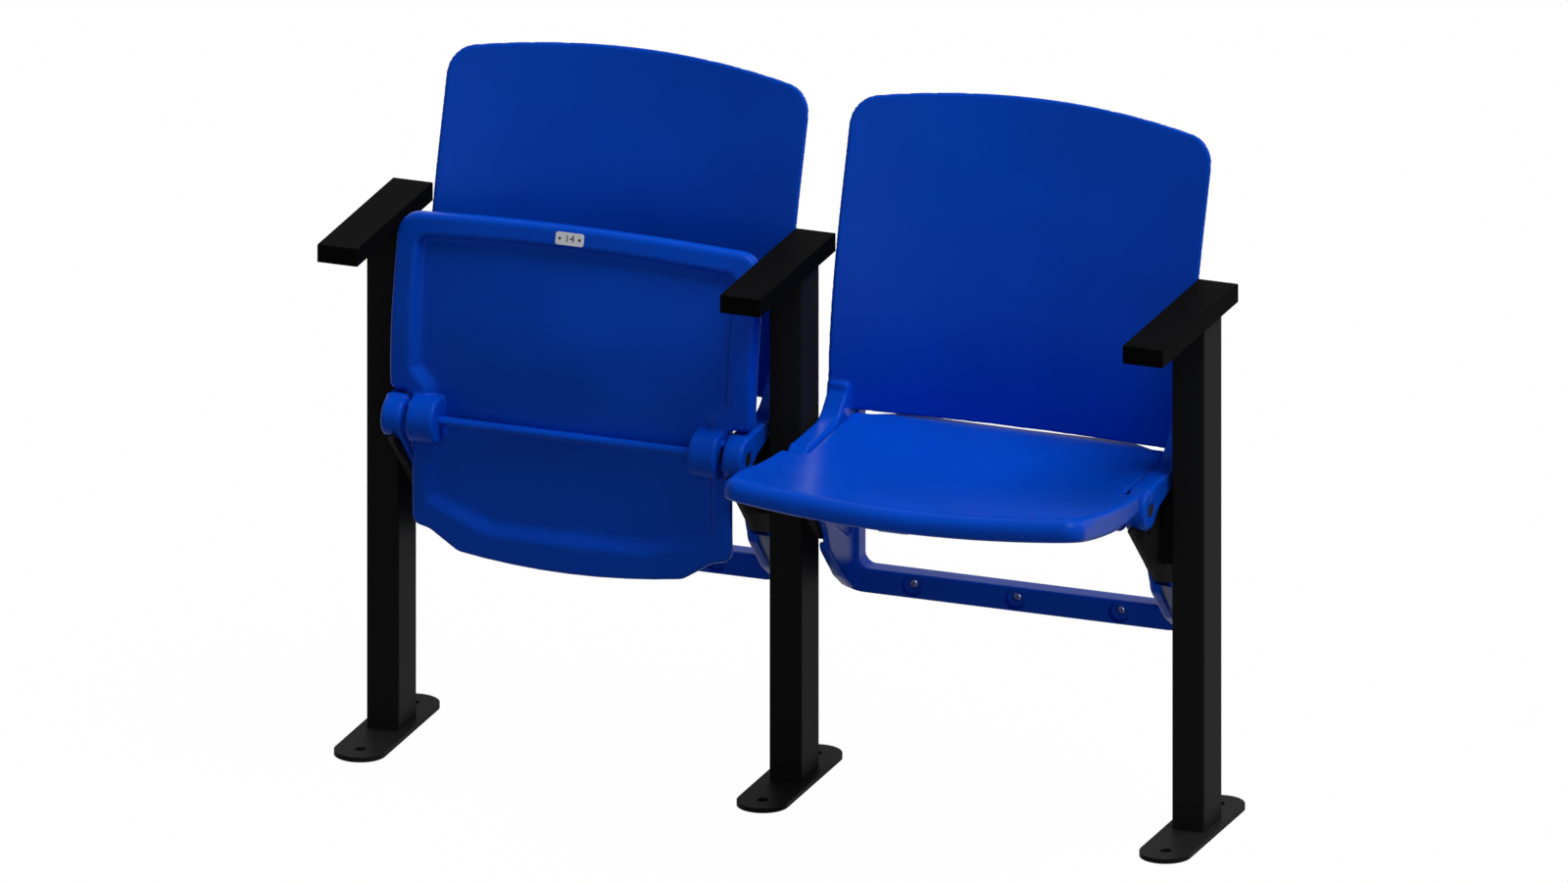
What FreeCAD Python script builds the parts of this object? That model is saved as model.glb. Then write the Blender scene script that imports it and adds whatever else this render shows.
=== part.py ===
import FreeCAD, Part
import Sketcher
import math
import os
import re

# Two tip-up stadium seats on three floor-mounted posts, in millimetres
# X runs along the row, +Y to the back, +Z up
# The origin is the centre of the middle post's base plate, on the floor
# The left seat is tipped up and the right seat is down

DRIVING_SIZES = {
    # The row
    "pitch": 500,
    # Floor plates
    "plate_length": 236,
    "plate_width": 61.5,
    "plate_thickness": 6,
    "anchor_spacing": 175,
    "anchor_hole": 14,
    # Posts
    "post_width": 40,
    "post_depth": 60,
    "post_wall": 3,
    "post_corner": 2.75,
    "post_setback": 15.4,
    # Armrests and the strips that carry them
    "arm_top": 650,
    "arm_length": 250,
    "arm_width": 50,
    "arm_thickness": 22,
    "arm_edge": 1.5,
    "arm_centre_y": -38.6,
    "strip_length": 226,
    "strip_width": 36,
    "strip_thickness": 4,
    "strip_clearance": 0.3,
    "arm_screw_front": -120,
    "arm_screw_middle": -60,
    "arm_screw_back": 66,
    "arm_screw_shank": 5,
    "arm_screw_head": 9.5,
    "arm_screw_head_height": 3,
    "arm_screw_length": 16,
    "screw_drive": 3,
    # Hinge line
    "pivot_y": -68,
    "pivot_z": 415,
    "tip_angle": 90,
    # Back shell
    "back_half_width": 224.4,
    "back_thickness": 5,
    "back_bottom": 444.5,
    "back_sag": 9.5,
    "back_top": 815.8,
    "back_crown": 16,
    "back_corner": 32,
    "back_front_y": 56.9,
    "back_bow_bottom": 37,
    "back_bow_top": 25,
    "lean_start": 470,
    "lean_middle": 600,
    "lean_end": 700,
    "lean_low": 0.03,
    "lean_half": 0.245,
    "lean_high": 0.33,
    "rail_height": 6,
    "panel_margin": 4,
    "frame_front_y": 77,
    "frame_depth": 28,
    "frame_bottom": 214.3,
    "frame_corner": 34,
    "crossbar_height": 29.5,
    "window_half_width": 194,
    "window_corner": 13,
    "fixing_spacing": 128.5,
    "fixing_hole": 10,
    "fixing_counterbore": 24,
    "fixing_counterbore_depth": 8,
    # Wings that carry the hinges
    "wing_inner": 199,
    "wing_top": 440.5,
    "wing_sweep_y": 28,
    "wing_sweep_radius": 40,
    "wing_bury": 4,
    "wing_joins_at": 475,
    "web_thickness": 7,
    "nose_radius": 24,
    "flange_knee_y": -20,
    "flange_knee_depth": 27,
    "flange_back_y": 45,
    "flange_back_depth": 10,
    "web_knee_y": -15,
    "web_knee_z": 321,
    "web_knee_corner": 25,
    "heel_front_y": -3,
    "heel_front_z": 291,
    "heel_front_corner": 12,
    "heel_middle_y": 40,
    "heel_middle_z": 245,
    "heel_middle_corner": 30,
    "web_foot_z": 219,
    "web_foot_reach": 6,
    "web_foot_rise": 4,
    "web_foot_corner": 8,
    "heel_top_front": 301,
    "heel_top_back": 270,
    "pocket_front_y": 17.5,
    "pocket_front_z": 316,
    "pocket_back_y": 71,
    "pocket_back_z": 283,
    "pocket_depth": 3,
    "pocket_corner": 6,
    "panel_lap": 7,
    "panel_lap_corner": 10,
    "flange_nose_y": -48,
    "flange_nose_z": 407,
    "rib_top": 575,
    "rib_middle": 520,
    "rib_corner": 20,
    "rib_bottom": 385,
    # Steel brackets between the wings and the posts
    "bracket_thickness": 6,
    "bracket_gap": 0.3,
    "bracket_room": 1.2,
    "bracket_corner": 8,
    "bracket_nose_room": 1,
    "bracket_tip_y": -98,
    "bracket_tip_z": 397,
    "bracket_knee_y": -11.5,
    "bracket_knee_z": 307.5,
    "bracket_foot_z": 287,
    "standoff_depth": 35,
    "standoff_height": 84,
    "standoff_front_y": 5,
    "standoff_bottom": 324,
    "bolt": 8,
    "bolt_hole": 8.6,
    "bolt_head": 15.6,
    "bolt_head_height": 4.2,
    "bolt_head_room": 0.4,
    "bolt_sink_room": 0.1,
    "bolt_one_y": -42,
    "bolt_one_z": 378,
    "bolt_two_y": -10,
    "bolt_two_z": 338,
    # Seat pan
    "pan_half_width": 224.5,
    "pan_rear_half_width": 197.5,
    "pan_front": 247.5,
    "pan_front_bow": 11,
    "pan_ear": 30,
    "pan_shoulder": 134,
    "pan_step_width": 175.5,
    "pan_step": 138,
    "pan_tail_width": 139.5,
    "pan_tail": 161,
    "pan_rear": 170.3,
    "pan_corner": 26,
    "pan_ear_corner": 7.5,
    "pan_shoulder_corner": 12,
    "pan_step_corner": 25,
    "pan_tail_corner": 22,
    "pan_edge": 6,
    "pan_dish": 15,
    "pan_level": 14,
    "pan_sweep_radius": 940,
    "pan_sweep_start": 33,
    "pan_rise": 3.5,
    "pan_rise_start": 60,
    "pan_hinge_back": 60,
    "pan_hinge_front": 130,
    "pan_rear_depth": 17,
    "pan_front_depth": 29.8,
    "pan_hollow": 12,
    "rim_front": 23,
    "rim_side": 25.5,
    "rim_hinge_side": 45,
    "rim_hinge_start": 57,
    "rim_hinge_end": 37,
    "rim_rear_side": 124,
    "rim_rear_start": 104,
    "rim_rear": 37,
    "recess_bow_share": 0.8,
    "recess_sweep_radius": 1684,
    "recess_front_corner": 15,
    "recess_step_corner": 6,
    "recess_rear_corner": 14,
    "recess_tail_corner": 18,
    # Hinge barrels, pins, bushes and the rod between them
    "barrel_gap": 7,
    "barrel_length": 34,
    "barrel_radius": 28.5,
    "pin": 10,
    "pin_clearance": 0.05,
    "pin_head": 14,
    "pin_head_height": 3.5,
    "pin_head_recess": 3,
    "pin_head_room": 0.5,
    "bush": 14,
    "bush_length": 22,
    "bush_flange": 20,
    "bush_flange_thickness": 1.5,
    "bush_end_gap": 0.2,
    "rod": 12,
    "rod_socket": 10,
    "rod_end_gap": 0.5,
    # Stops inside the hinge
    "stop_inner_radius": 12.5,
    "stop_outer_radius": 18,
    "stop_gap": 0.8,
    "stop_room": 1.5,
    "stop_root": 0.5,
    "stop_angle": 40,
    "stop_clearance_angle": 1.5,
    # Number plate and small trim
    "number_plate_width": 35,
    "number_plate_height": 15,
    "number_plate_thickness": 1.2,
    "number_plate_recess": 0.4,
    "number_plate_room": 0.4,
    "number_plate_x": -5.6,
    "number_plate_y": -235.6,
    "number_plate_corner": 3,
    "rivet": 2.4,
    "rivet_head": 3.4,
    "rivet_spacing": 24.5,
    "rivet_length": 7,
    "rivet_end_gap": 1,
    "rivet_head_height": 0.6,
    "rivet_room": 0.2,
    "plug": 4,
    "plug_length": 5,
    "plug_spacing": 195,
    "plug_y": 144,
    "plug_recess": 0.2,
}

# Sizes that follow from others, so that neighbours keep their clearance
FOLLOWING_SIZES = {
    "barrel_outer": "=wing_inner - barrel_gap",
    "barrel_inner": "=barrel_outer - barrel_length",
}

doc = FreeCAD.newDocument("stadium_seat")
sizes = doc.addObject("Spreadsheet::Sheet", "sizes")
ALL_SIZES = {**DRIVING_SIZES, **FOLLOWING_SIZES}
for row, (alias, content) in enumerate(ALL_SIZES.items(), start=1):
    sizes.set("A%d" % row, alias)
    sizes.set("B%d" % row, str(content))
    sizes.setAlias("B%d" % row, alias)
doc.recompute()

SIZE_WORD = re.compile(r"\b(" + "|".join(sorted(ALL_SIZES, key=len, reverse=True)) + r")\b")
X_AXIS = FreeCAD.Vector(1, 0, 0)
Y_AXIS = FreeCAD.Vector(0, 1, 0)
Z_AXIS = FreeCAD.Vector(0, 0, 1)
ALONG_X = FreeCAD.Rotation(Y_AXIS, 90)
POSTS = {"left": "-pitch", "middle": "0", "right": "pitch"}
SEATS = {"left": "-pitch / 2", "right": "pitch / 2"}
SIDES = {"left": -1, "right": 1}
# A cut runs this far past the face that it opens
PAST = 1.0
# Far enough to pass through any moulding
FAR = 300.0
parts = []


def size(alias):
    return float(sizes.get(alias))


def from_sheet(text):
    return SIZE_WORD.sub(r"sizes.\1", str(text))


def bind(item, **properties):
    for name, text in properties.items():
        item.setExpression(name.replace("__", "."), from_sheet(text))


def put(item, x="0", y="0", z="0"):
    bind(item, Placement__Base__x=x, Placement__Base__y=y, Placement__Base__z=z)


def part(item, label):
    item.Label = label
    parts.append(item)
    return item


# Sketch helpers

def origin_plane(body, role):
    for feature in body.Origin.OriginFeatures:
        if feature.Role == role:
            return feature


def new_sketch(body, name, role="XY_Plane", offset="0"):
    sketch = body.newObject("Sketcher::SketchObject", name)
    sketch.AttachmentSupport = [(origin_plane(body, role), "")]
    sketch.MapMode = "FlatFace"
    bind(sketch, AttachmentOffset__Base__z=offset)
    return sketch


def pin_point(sketch, curve, end, name, a, b):
    for kind, axis, text in (("DistanceX", "x", a), ("DistanceY", "y", b)):
        index = sketch.addConstraint(Sketcher.Constraint(kind, -1, 1, curve, end, 1.0))
        sketch.renameConstraint(index, name + axis)
        sketch.setExpression("Constraints." + name + axis, from_sheet(text))


def add_polygon(sketch, corners, name="corner"):
    spots = [FreeCAD.Vector(number(a), number(b), 0) for a, b in corners]
    first = sketch.GeometryCount
    for index, spot in enumerate(spots):
        sketch.addGeometry(Part.LineSegment(spot, spots[(index + 1) % len(spots)]), False)
    for index in range(len(spots)):
        following = first + (index + 1) % len(spots)
        sketch.addConstraint(Sketcher.Constraint("Coincident", first + index, 2, following, 1))
    for index, (a, b) in enumerate(corners):
        pin_point(sketch, first + index, 1, name + str(index), a, b)


def add_circle(sketch, a, b, diameter, name="hole"):
    centre = FreeCAD.Vector(number(a), number(b), 0)
    curve = sketch.addGeometry(Part.Circle(centre, Z_AXIS, number(diameter) / 2), False)
    pin_point(sketch, curve, 3, name, a, b)
    index = sketch.addConstraint(Sketcher.Constraint("Diameter", curve, number(diameter)))
    sketch.renameConstraint(index, name + "d")
    sketch.setExpression("Constraints." + name + "d", from_sheet(diameter))


def number(text):
    holder = SIZE_WORD.sub(lambda match: repr(size(match.group(1))), str(text))
    return FreeCAD.Units.Quantity(holder).Value


def rectangle(width, depth, x="0", y="0"):
    left, right = "%s - (%s) / 2" % (x, width), "%s + (%s) / 2" % (x, width)
    front, back = "%s - (%s) / 2" % (y, depth), "%s + (%s) / 2" % (y, depth)
    return [(left, front), (right, front), (right, back), (left, back)]


def pad(body, sketch, length, reverse=False):
    feature = body.newObject("PartDesign::Pad", "Pad")
    feature.Profile = sketch
    feature.Reversed = reverse
    bind(feature, Length=length)
    doc.recompute()
    return feature


def pocket(body, sketch, length, reverse=False):
    before = body.Shape.Volume
    feature = body.newObject("PartDesign::Pocket", "Pocket")
    feature.Profile = sketch
    feature.Reversed = reverse
    bind(feature, Length=length)
    doc.recompute()
    if body.Shape.Volume > before - 0.1:
        raise ValueError("a pocket in %s cuts nothing" % body.Label)
    return feature


def fillet(body, feature, radius, wanted):
    names = ["Edge%d" % (i + 1) for i, edge in enumerate(feature.Shape.Edges) if wanted(edge)]
    rounded = body.newObject("PartDesign::Fillet", "Fillet")
    rounded.Base = (feature, names)
    bind(rounded, Radius=radius)
    doc.recompute()
    return rounded


def is_along(edge, axis):
    if len(edge.Vertexes) < 2:
        return False
    run = edge.Vertexes[1].Point - edge.Vertexes[0].Point
    return abs(abs(run.dot(axis)) - run.Length) < 1e-6


# Primitive helpers

def cylinder(name, diameter, length, x="0", y="0", z="0", rotation=None):
    item = doc.addObject("Part::Cylinder", name)
    if rotation:
        item.Placement = FreeCAD.Placement(FreeCAD.Vector(), rotation)
    bind(item, Radius="(%s) / 2" % diameter, Height=length)
    put(item, x, y, z)
    return item


def hexagon(name, flats, length, x="0", y="0", z="0", rotation=None):
    item = doc.addObject("Part::Prism", name)
    item.Polygon = 6
    if rotation:
        item.Placement = FreeCAD.Placement(FreeCAD.Vector(), rotation)
    bind(item, Circumradius="(%s) / 2 / cos(30)" % flats, Height=length)
    put(item, x, y, z)
    return item


def fuse(name, *items):
    joined = doc.addObject("Part::MultiFuse", name)
    joined.Shapes = list(items)
    return joined


def cut(name, base, tool):
    result = doc.addObject("Part::Cut", name)
    result.Base = base
    result.Tool = tool
    return result


def group(name, items):
    bundle = doc.addObject("Part::Compound", name)
    bundle.Links = list(items)
    return bundle


def ride_on_pan(item, seat):
    """The left seat is tipped up about the hinge line, the right seat is as drawn."""
    turn = -size("tip_angle") if seat == "left" else 0
    item.Placement = FreeCAD.Placement(
        FreeCAD.Vector(number(SEATS[seat]), size("pivot_y"), size("pivot_z")),
        FreeCAD.Rotation(X_AXIS, turn))
    return item


# Floor plates: a slot shape with an anchor hole at the middle of each round end

def make_base_plate(post):
    body = doc.addObject("PartDesign::Body", "base_plate_" + post)
    middle = new_sketch(body, "middle")
    add_polygon(middle, rectangle("plate_width", "plate_length - plate_width"))
    pad(body, middle, "plate_thickness")
    ends = new_sketch(body, "ends")
    holes = new_sketch(body, "holes")
    for name, sign in (("back", "1"), ("front", "-1")):
        add_circle(ends, "0", sign + " * (plate_length - plate_width) / 2", "plate_width", name)
        add_circle(holes, "0", sign + " * anchor_spacing / 2", "anchor_hole", name)
    pad(body, ends, "plate_thickness")
    pocket(body, holes, "plate_thickness", reverse=True)
    put(body, POSTS[post])
    part(body, "base_plate_" + post)


# Posts: rectangular tube, welded to the plate below and the strip above

def make_post(post):
    body = doc.addObject("PartDesign::Body", "post_" + post)
    height = "arm_top - arm_thickness - plate_thickness"
    outside = new_sketch(body, "outside")
    add_polygon(outside, rectangle("post_width", "post_depth"))
    tube = fillet(body, pad(body, outside, height), "post_corner", lambda edge: is_along(edge, Z_AXIS))
    inside = new_sketch(body, "inside")
    add_polygon(inside, rectangle("post_width - 2 * post_wall", "post_depth - 2 * post_wall"))
    pocket(body, inside, height, reverse=True)
    put(body, POSTS[post], "post_setback", "plate_thickness")
    part(body, "post_" + post)


# Armrests: a moulded slab, recessed below for the steel strip that it is screwed to

ARM_SCREWS = {
    "front": "arm_screw_front - arm_centre_y",
    "middle": "arm_screw_middle - arm_centre_y",
    "back": "arm_screw_back - arm_centre_y",
}


def make_arm_strip(post):
    body = doc.addObject("PartDesign::Body", "arm_strip_" + post)
    sketch = new_sketch(body, "outline")
    add_polygon(sketch, rectangle("strip_width", "strip_length"))
    for name, place in ARM_SCREWS.items():
        add_circle(sketch, "0", place, "arm_screw_shank + 2 * strip_clearance", name)
    pad(body, sketch, "strip_thickness")
    put(body, POSTS[post], "arm_centre_y", "arm_top - arm_thickness")
    part(body, "arm_strip_" + post)


def make_armrest(post):
    body = doc.addObject("PartDesign::Body", "armrest_" + post)
    outside = new_sketch(body, "outside")
    add_polygon(outside, rectangle("arm_width", "arm_length"))
    slab = pad(body, outside, "arm_thickness")
    upright = fillet(body, slab, "arm_edge", lambda edge: is_along(edge, Z_AXIS))
    top = size("arm_thickness")
    fillet(body, upright, "arm_edge",
           lambda edge: all(abs(vertex.Z - top) < 1e-6 for vertex in edge.Vertexes))
    recess = new_sketch(body, "recess")
    add_polygon(recess, rectangle("strip_width + 2 * strip_clearance",
                                  "strip_length + 2 * strip_clearance"))
    pocket(body, recess, "strip_thickness", reverse=True)
    pilots = new_sketch(body, "pilots")
    for name, place in ARM_SCREWS.items():
        add_circle(pilots, "0", place, "arm_screw_shank", name)
    pocket(body, pilots, "arm_screw_length", reverse=True)
    put(body, POSTS[post], "arm_centre_y", "arm_top - arm_thickness")
    part(body, "armrest_" + post)


def make_arm_screws(post):
    screws = []
    for spot, place in ARM_SCREWS.items():
        name = "arm_screw_%s_%s" % (post, spot)
        shank = cylinder(name + "_shank", "arm_screw_shank", "arm_screw_length", y=place)
        head = cylinder(name + "_head", "arm_screw_head", "arm_screw_head_height",
                        y=place, z="-arm_screw_head_height")
        drive = hexagon(name + "_drive", "screw_drive", "arm_screw_head_height",
                        y=place, z="-1.4 * arm_screw_head_height")
        screws.append(cut(name, fuse(name + "_blank", shank, head), drive))
    screw_pair = group("armrest_screws_" + post, screws)
    put(screw_pair, POSTS[post], "arm_centre_y", "arm_top - arm_thickness")
    part(screw_pair, "armrest_screws_" + post)


# Moulded shapes are drawn with rounded outlines and lofts
# An outline is a list of (a, b, radius) corners in one of three planes

PLANES = {
    "XY": (lambda a, b: FreeCAD.Vector(a, b, 0), Z_AXIS),
    "XZ": (lambda a, b: FreeCAD.Vector(a, 0, b), Y_AXIS),
    "YZ": (lambda a, b: FreeCAD.Vector(0, a, b), X_AXIS),
}


def prism(plane, corners, low, high):
    to_space, normal = PLANES[plane]
    spots = [to_space(a, b) for a, b, radius in corners]
    edges = []
    ends = []
    for index, (a, b, radius) in enumerate(corners):
        here = spots[index]
        before = (spots[index - 1] - here).normalize()
        after = (spots[(index + 1) % len(spots)] - here).normalize()
        if radius:
            half = before.getAngle(after) / 2
            reach = radius / math.tan(half)
            start, finish = here + before * reach, here + after * reach
            centre = here + (before + after).normalize() * (radius / math.sin(half))
            middle = centre + (here - centre).normalize() * radius
            edges.append(Part.Arc(start, middle, finish).toShape())
            ends.append((start, finish))
        else:
            edges.append(None)
            ends.append((here, here))
    chain = []
    for index in range(len(corners)):
        if edges[index]:
            chain.append(edges[index])
        start, finish = ends[index][1], ends[(index + 1) % len(corners)][0]
        if start.distanceToPoint(finish) > 1e-6:
            chain.append(Part.makeLine(start, finish))
    face = Part.Face(Part.Wire(Part.__sortEdges__(chain)))
    face.translate(normal * low)
    return face.extrude(normal * (high - low))


def disc(radius, low, high, y=0.0, z=0.0):
    return Part.makeCylinder(radius, high - low, FreeCAD.Vector(low, y, z), X_AXIS)


def both_sides(shape):
    return [shape, shape.mirror(FreeCAD.Vector(), X_AXIS)]


def both_sides_all(shapes):
    return [copy for shape in shapes for copy in both_sides(shape)]


def overlap(shape, tool, what):
    """The space that two shapes share, which must not come out empty."""
    shared = shape.common(tool)
    if shared.Volume < 1:
        raise ValueError("%s came out empty" % what)
    return shared


def band(axis, place, half_width, front, back, bow):
    """A closed section between two arcs, front and back, whose middles are set off by bow."""
    if axis == "z":
        def spot(x, depth):
            return FreeCAD.Vector(x, depth, place)
    else:
        def spot(x, depth):
            return FreeCAD.Vector(x, place, depth)
    corners = [spot(-half_width, front), spot(half_width, front),
               spot(half_width, back), spot(-half_width, back)]
    return Part.Wire([
        Part.Arc(corners[0], spot(0, front + bow), corners[1]).toShape(),
        Part.makeLine(corners[1], corners[2]),
        Part.Arc(corners[2], spot(0, back + bow), corners[3]).toShape(),
        Part.makeLine(corners[3], corners[0]),
    ])


# The seam of a cylinder about X lies at this angle from +Y
SEAM_ANGLE = 90.0


def sector(low, high, start_angle, end_angle, y=0.0, z=0.0):
    """A piece of the stop ring about the hinge line; angles run from +Y towards +Z."""
    ring_start = FreeCAD.Vector(low, y, z)
    outer = Part.makeCylinder(size("stop_outer_radius"), high - low, ring_start, X_AXIS,
                              end_angle - start_angle)
    inner = Part.makeCylinder(size("stop_inner_radius"), high - low, ring_start, X_AXIS)
    piece = outer.cut(inner)
    piece.rotate(ring_start, X_AXIS, start_angle - SEAM_ANGLE)
    return piece


# Back shell: one moulding with its panel, lower frame and the two wings

def back_side_line(z):
    """Front of the panel at its side edge: upright, then leaning back in two easy curves."""
    low, half, high = size("lean_low"), size("lean_half"), size("lean_high")
    start, middle, end = size("lean_start"), size("lean_middle"), size("lean_end")
    y = size("back_front_y")
    run = min(max(z - start, 0), middle - start)
    y += low * run + (half - low) / (middle - start) / 2 * run ** 2
    run = min(max(z - middle, 0), end - middle)
    y += half * run + (high - half) / (end - middle) / 2 * run ** 2
    return y + high * max(z - end, 0)


def panel_recess(x, z):
    """How far the front of the panel lies behind its side edge, because it is bowed."""
    return back_bow(z) * (1 - (x / size("back_half_width")) ** 2)


def back_bow(z):
    share = (z - size("back_bottom")) / (size("back_top") - size("back_bottom"))
    return size("back_bow_bottom") + (size("back_bow_top") - size("back_bow_bottom")) * share


def back_panel():
    width, bottom, top = size("back_half_width"), size("back_bottom"), size("back_top")
    thickness, margin = size("back_thickness"), size("panel_margin")
    steps = 10
    grown = ((width + margin) / width) ** 2
    low = bottom - size("back_sag") - margin
    sections = []
    for step in range(steps + 1):
        z = low + (top + margin - low) * step / steps
        front = back_side_line(z) - (grown - 1) * back_bow(z)
        sections.append(band("z", z, width + margin, front, front + thickness, grown * back_bow(z)))
    sheet = Part.makeLoft(sections, True, False)
    shoulder = top - size("back_crown")
    low_left, low_right = FreeCAD.Vector(-width, 0, bottom), FreeCAD.Vector(width, 0, bottom)
    high_left, high_right = FreeCAD.Vector(-width, 0, shoulder), FreeCAD.Vector(width, 0, shoulder)
    outline = Part.Wire([
        Part.Arc(low_left, FreeCAD.Vector(0, 0, bottom - size("back_sag")), low_right).toShape(),
        Part.makeLine(low_right, high_right),
        Part.Arc(high_right, FreeCAD.Vector(0, 0, top), high_left).toShape(),
        Part.makeLine(high_left, low_left),
    ])
    block = Part.Face(outline).extrude(Y_AXIS * FAR)
    corners = [edge for edge in block.Edges
               if is_along(edge, Y_AXIS) and abs(edge.Vertexes[0].Z - shoulder) < 1e-6]
    return overlap(sheet, block.makeFillet(size("back_corner"), corners), "the back panel")


def lower_frame():
    width, bottom = size("back_half_width"), size("frame_bottom")
    front, back = size("frame_front_y"), size("frame_front_y") + size("frame_depth")
    top = size("back_bottom") + size("rail_height")
    corner = size("frame_corner")
    outside = prism("XZ", [(-width, bottom, corner), (width, bottom, corner), (width, top, 0),
                           (-width, top, 0)], front, back)
    opening = size("window_half_width")
    sill = bottom + size("crossbar_height")
    window = prism("XZ", [(-opening, sill, size("window_corner")), (opening, sill, size("window_corner")),
                          (opening, top + PAST, 0), (-opening, top + PAST, 0)],
                   front - PAST, back + PAST)
    frame = outside.cut(window)
    level = size("back_bottom")
    middle = back_side_line(level) + size("back_thickness") / 2
    front_left, front_right = FreeCAD.Vector(-width, middle, level), FreeCAD.Vector(width, middle, level)
    back_left, back_right = FreeCAD.Vector(-width, back, level), FreeCAD.Vector(width, back, level)
    crown = FreeCAD.Vector(0, middle + size("back_bow_bottom"), level)
    section = Part.Wire([
        Part.Arc(front_left, crown, front_right).toShape(),
        Part.makeLine(front_right, back_right),
        Part.makeLine(back_right, back_left),
        Part.makeLine(back_left, front_left),
    ])
    rail = Part.Face(section).extrude(Z_AXIS * size("rail_height"))
    return frame.fuse(rail)


def fixing_holes():
    z = size("frame_bottom") + size("crossbar_height") / 2
    front = size("frame_front_y")
    holes = []
    for step in (-1, 0, 1):
        spot = FreeCAD.Vector(step * size("fixing_spacing"), front - PAST, z)
        holes.append(Part.makeCylinder(size("fixing_hole") / 2, size("frame_depth") + 2 * PAST,
                                       spot, Y_AXIS))
        holes.append(Part.makeCylinder(size("fixing_counterbore") / 2,
                                       size("fixing_counterbore_depth") + PAST, spot, Y_AXIS))
    return holes


def wing():
    """The right-hand wing: an inner web, a flange along its top, and the round nose."""
    inner, outer = size("wing_inner"), size("back_half_width")
    web = inner + size("web_thickness")
    top = size("wing_top")
    frame_front, frame_back = size("frame_front_y"), size("frame_front_y") + size("frame_depth")
    y, z, radius = size("pivot_y"), size("pivot_z"), size("nose_radius")
    bury = size("wing_bury")
    joins = size("wing_joins_at")
    panel_y = back_side_line(joins)
    skin = size("back_thickness")
    root_y, foot_z = frame_front + bury, size("web_foot_z")
    heel_y, heel_z = size("heel_front_y"), size("heel_front_z")
    lower_edge = [(heel_y, heel_z, size("heel_front_corner")),
                  (size("heel_middle_y"), size("heel_middle_z"), size("heel_middle_corner")),
                  (frame_front - size("web_foot_reach"), foot_z + size("web_foot_rise"),
                   size("web_foot_corner")),
                  (root_y, foot_z, 0)]

    nose = disc(radius, inner, outer, y, z)
    tangent = radius * math.sqrt(0.5)
    knee = (size("web_knee_y"), size("web_knee_z"), size("web_knee_corner"))
    web_plate = prism("YZ", [(y - tangent, z - tangent, 0), knee] + lower_edge
                      + [(root_y, top - bury, 0), (y, top - bury, 0)], inner, web)
    heel = prism("YZ", [(heel_y - 1, size("heel_top_front"), 0)] + lower_edge
                 + [(root_y, size("heel_top_back"), 0)],
                 web - PAST, web + size("bracket_gap") + size("bracket_thickness"))
    flange = prism("YZ", [
        (y, top, 0), (size("wing_sweep_y"), top, size("wing_sweep_radius")),
        (panel_y, joins - size("panel_lap"), size("panel_lap_corner")),
        (panel_y, joins, 0), (panel_y + skin, joins, 0),
        (frame_front + bury, top, 0), (frame_front + bury, top - size("flange_back_depth"), 0),
        (size("flange_back_y"), top - size("flange_back_depth"), 0),
        (size("flange_knee_y"), top - size("flange_knee_depth"), 0),
        (size("flange_nose_y"), size("flange_nose_z"), 0), (y, z, 0)], inner, outer)
    rib_top, rib_middle, rib_bottom = size("rib_top"), size("rib_middle"), size("rib_bottom")
    rib_front = [(back_side_line(level) + panel_recess(inner, level) + skin / 2, level, 0)
                 for level in (rib_top, rib_middle, joins, top)]
    rib = prism("YZ", rib_front + [
        (frame_front + bury, rib_bottom, 0), (frame_back, rib_bottom, 0),
        (frame_back, top - bury, size("rib_corner")), (rib_front[0][0] + skin, rib_top, 0)], inner, outer)
    return nose.fuse([web_plate, heel, flange, rib])


def wing_cuts():
    outer = size("back_half_width")
    inner = size("wing_inner")
    y, z = size("pivot_y"), size("pivot_z")
    cuts = [
        disc(size("pin") / 2, size("barrel_outer"), outer + PAST, y, z),
        disc(size("pin_head") / 2 + size("pin_head_room"), outer - size("pin_head_recess"),
             outer + PAST, y, z),
    ]
    for bolt_y, bolt_z in bolt_places():
        web = size("web_thickness")
        cuts.append(disc(size("bolt_hole") / 2, inner - PAST, inner + web + PAST, bolt_y, bolt_z))
        cuts.append(Part.makeCone(size("bolt_head") / 2 + size("bolt_head_room"),
                                  size("bolt") / 2 + size("bolt_sink_room"),
                                  size("bolt_head_height"), FreeCAD.Vector(inner, bolt_y, bolt_z), X_AXIS))
    front, back = size("pocket_front_y"), size("pocket_back_y")
    roof = size("wing_top") - size("flange_knee_depth")
    corner = size("pocket_corner")
    cuts.append(prism("YZ", [(front, size("pocket_front_z"), 0), (back, size("pocket_back_z"), corner),
                             (back, roof, corner), (front, roof, corner)],
                      inner - PAST, inner + size("pocket_depth")))
    return cuts


def bolt_places():
    return [(size("bolt_one_y"), size("bolt_one_z")), (size("bolt_two_y"), size("bolt_two_z"))]


def nose_stop():
    """The fixed stop leaves a gap in the ring that the moving one swings through."""
    half = size("stop_angle") / 2
    start = 180 + half + size("stop_clearance_angle")
    end = 540 - half - size("tip_angle") - size("stop_clearance_angle")
    low = size("barrel_outer") + size("bush_flange_thickness") + size("stop_gap")
    return sector(low, size("wing_inner") + size("stop_root"), start, end,
                  size("pivot_y"), size("pivot_z"))


def make_back_shell(seat):
    shell = back_panel().fuse([lower_frame()] + both_sides(wing()))
    shell = shell.cut(both_sides_all(wing_cuts()) + fixing_holes())
    shell = shell.fuse(both_sides(nose_stop())).removeSplitter()
    item = doc.addObject("Part::Feature", seat + "_back_shell")
    item.Shape = shell
    put(item, SEATS[seat])
    part(item, seat + "_back_shell")


# Seat pan: one hollow-looking moulding, drawn about the hinge line in its sitting position

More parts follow.
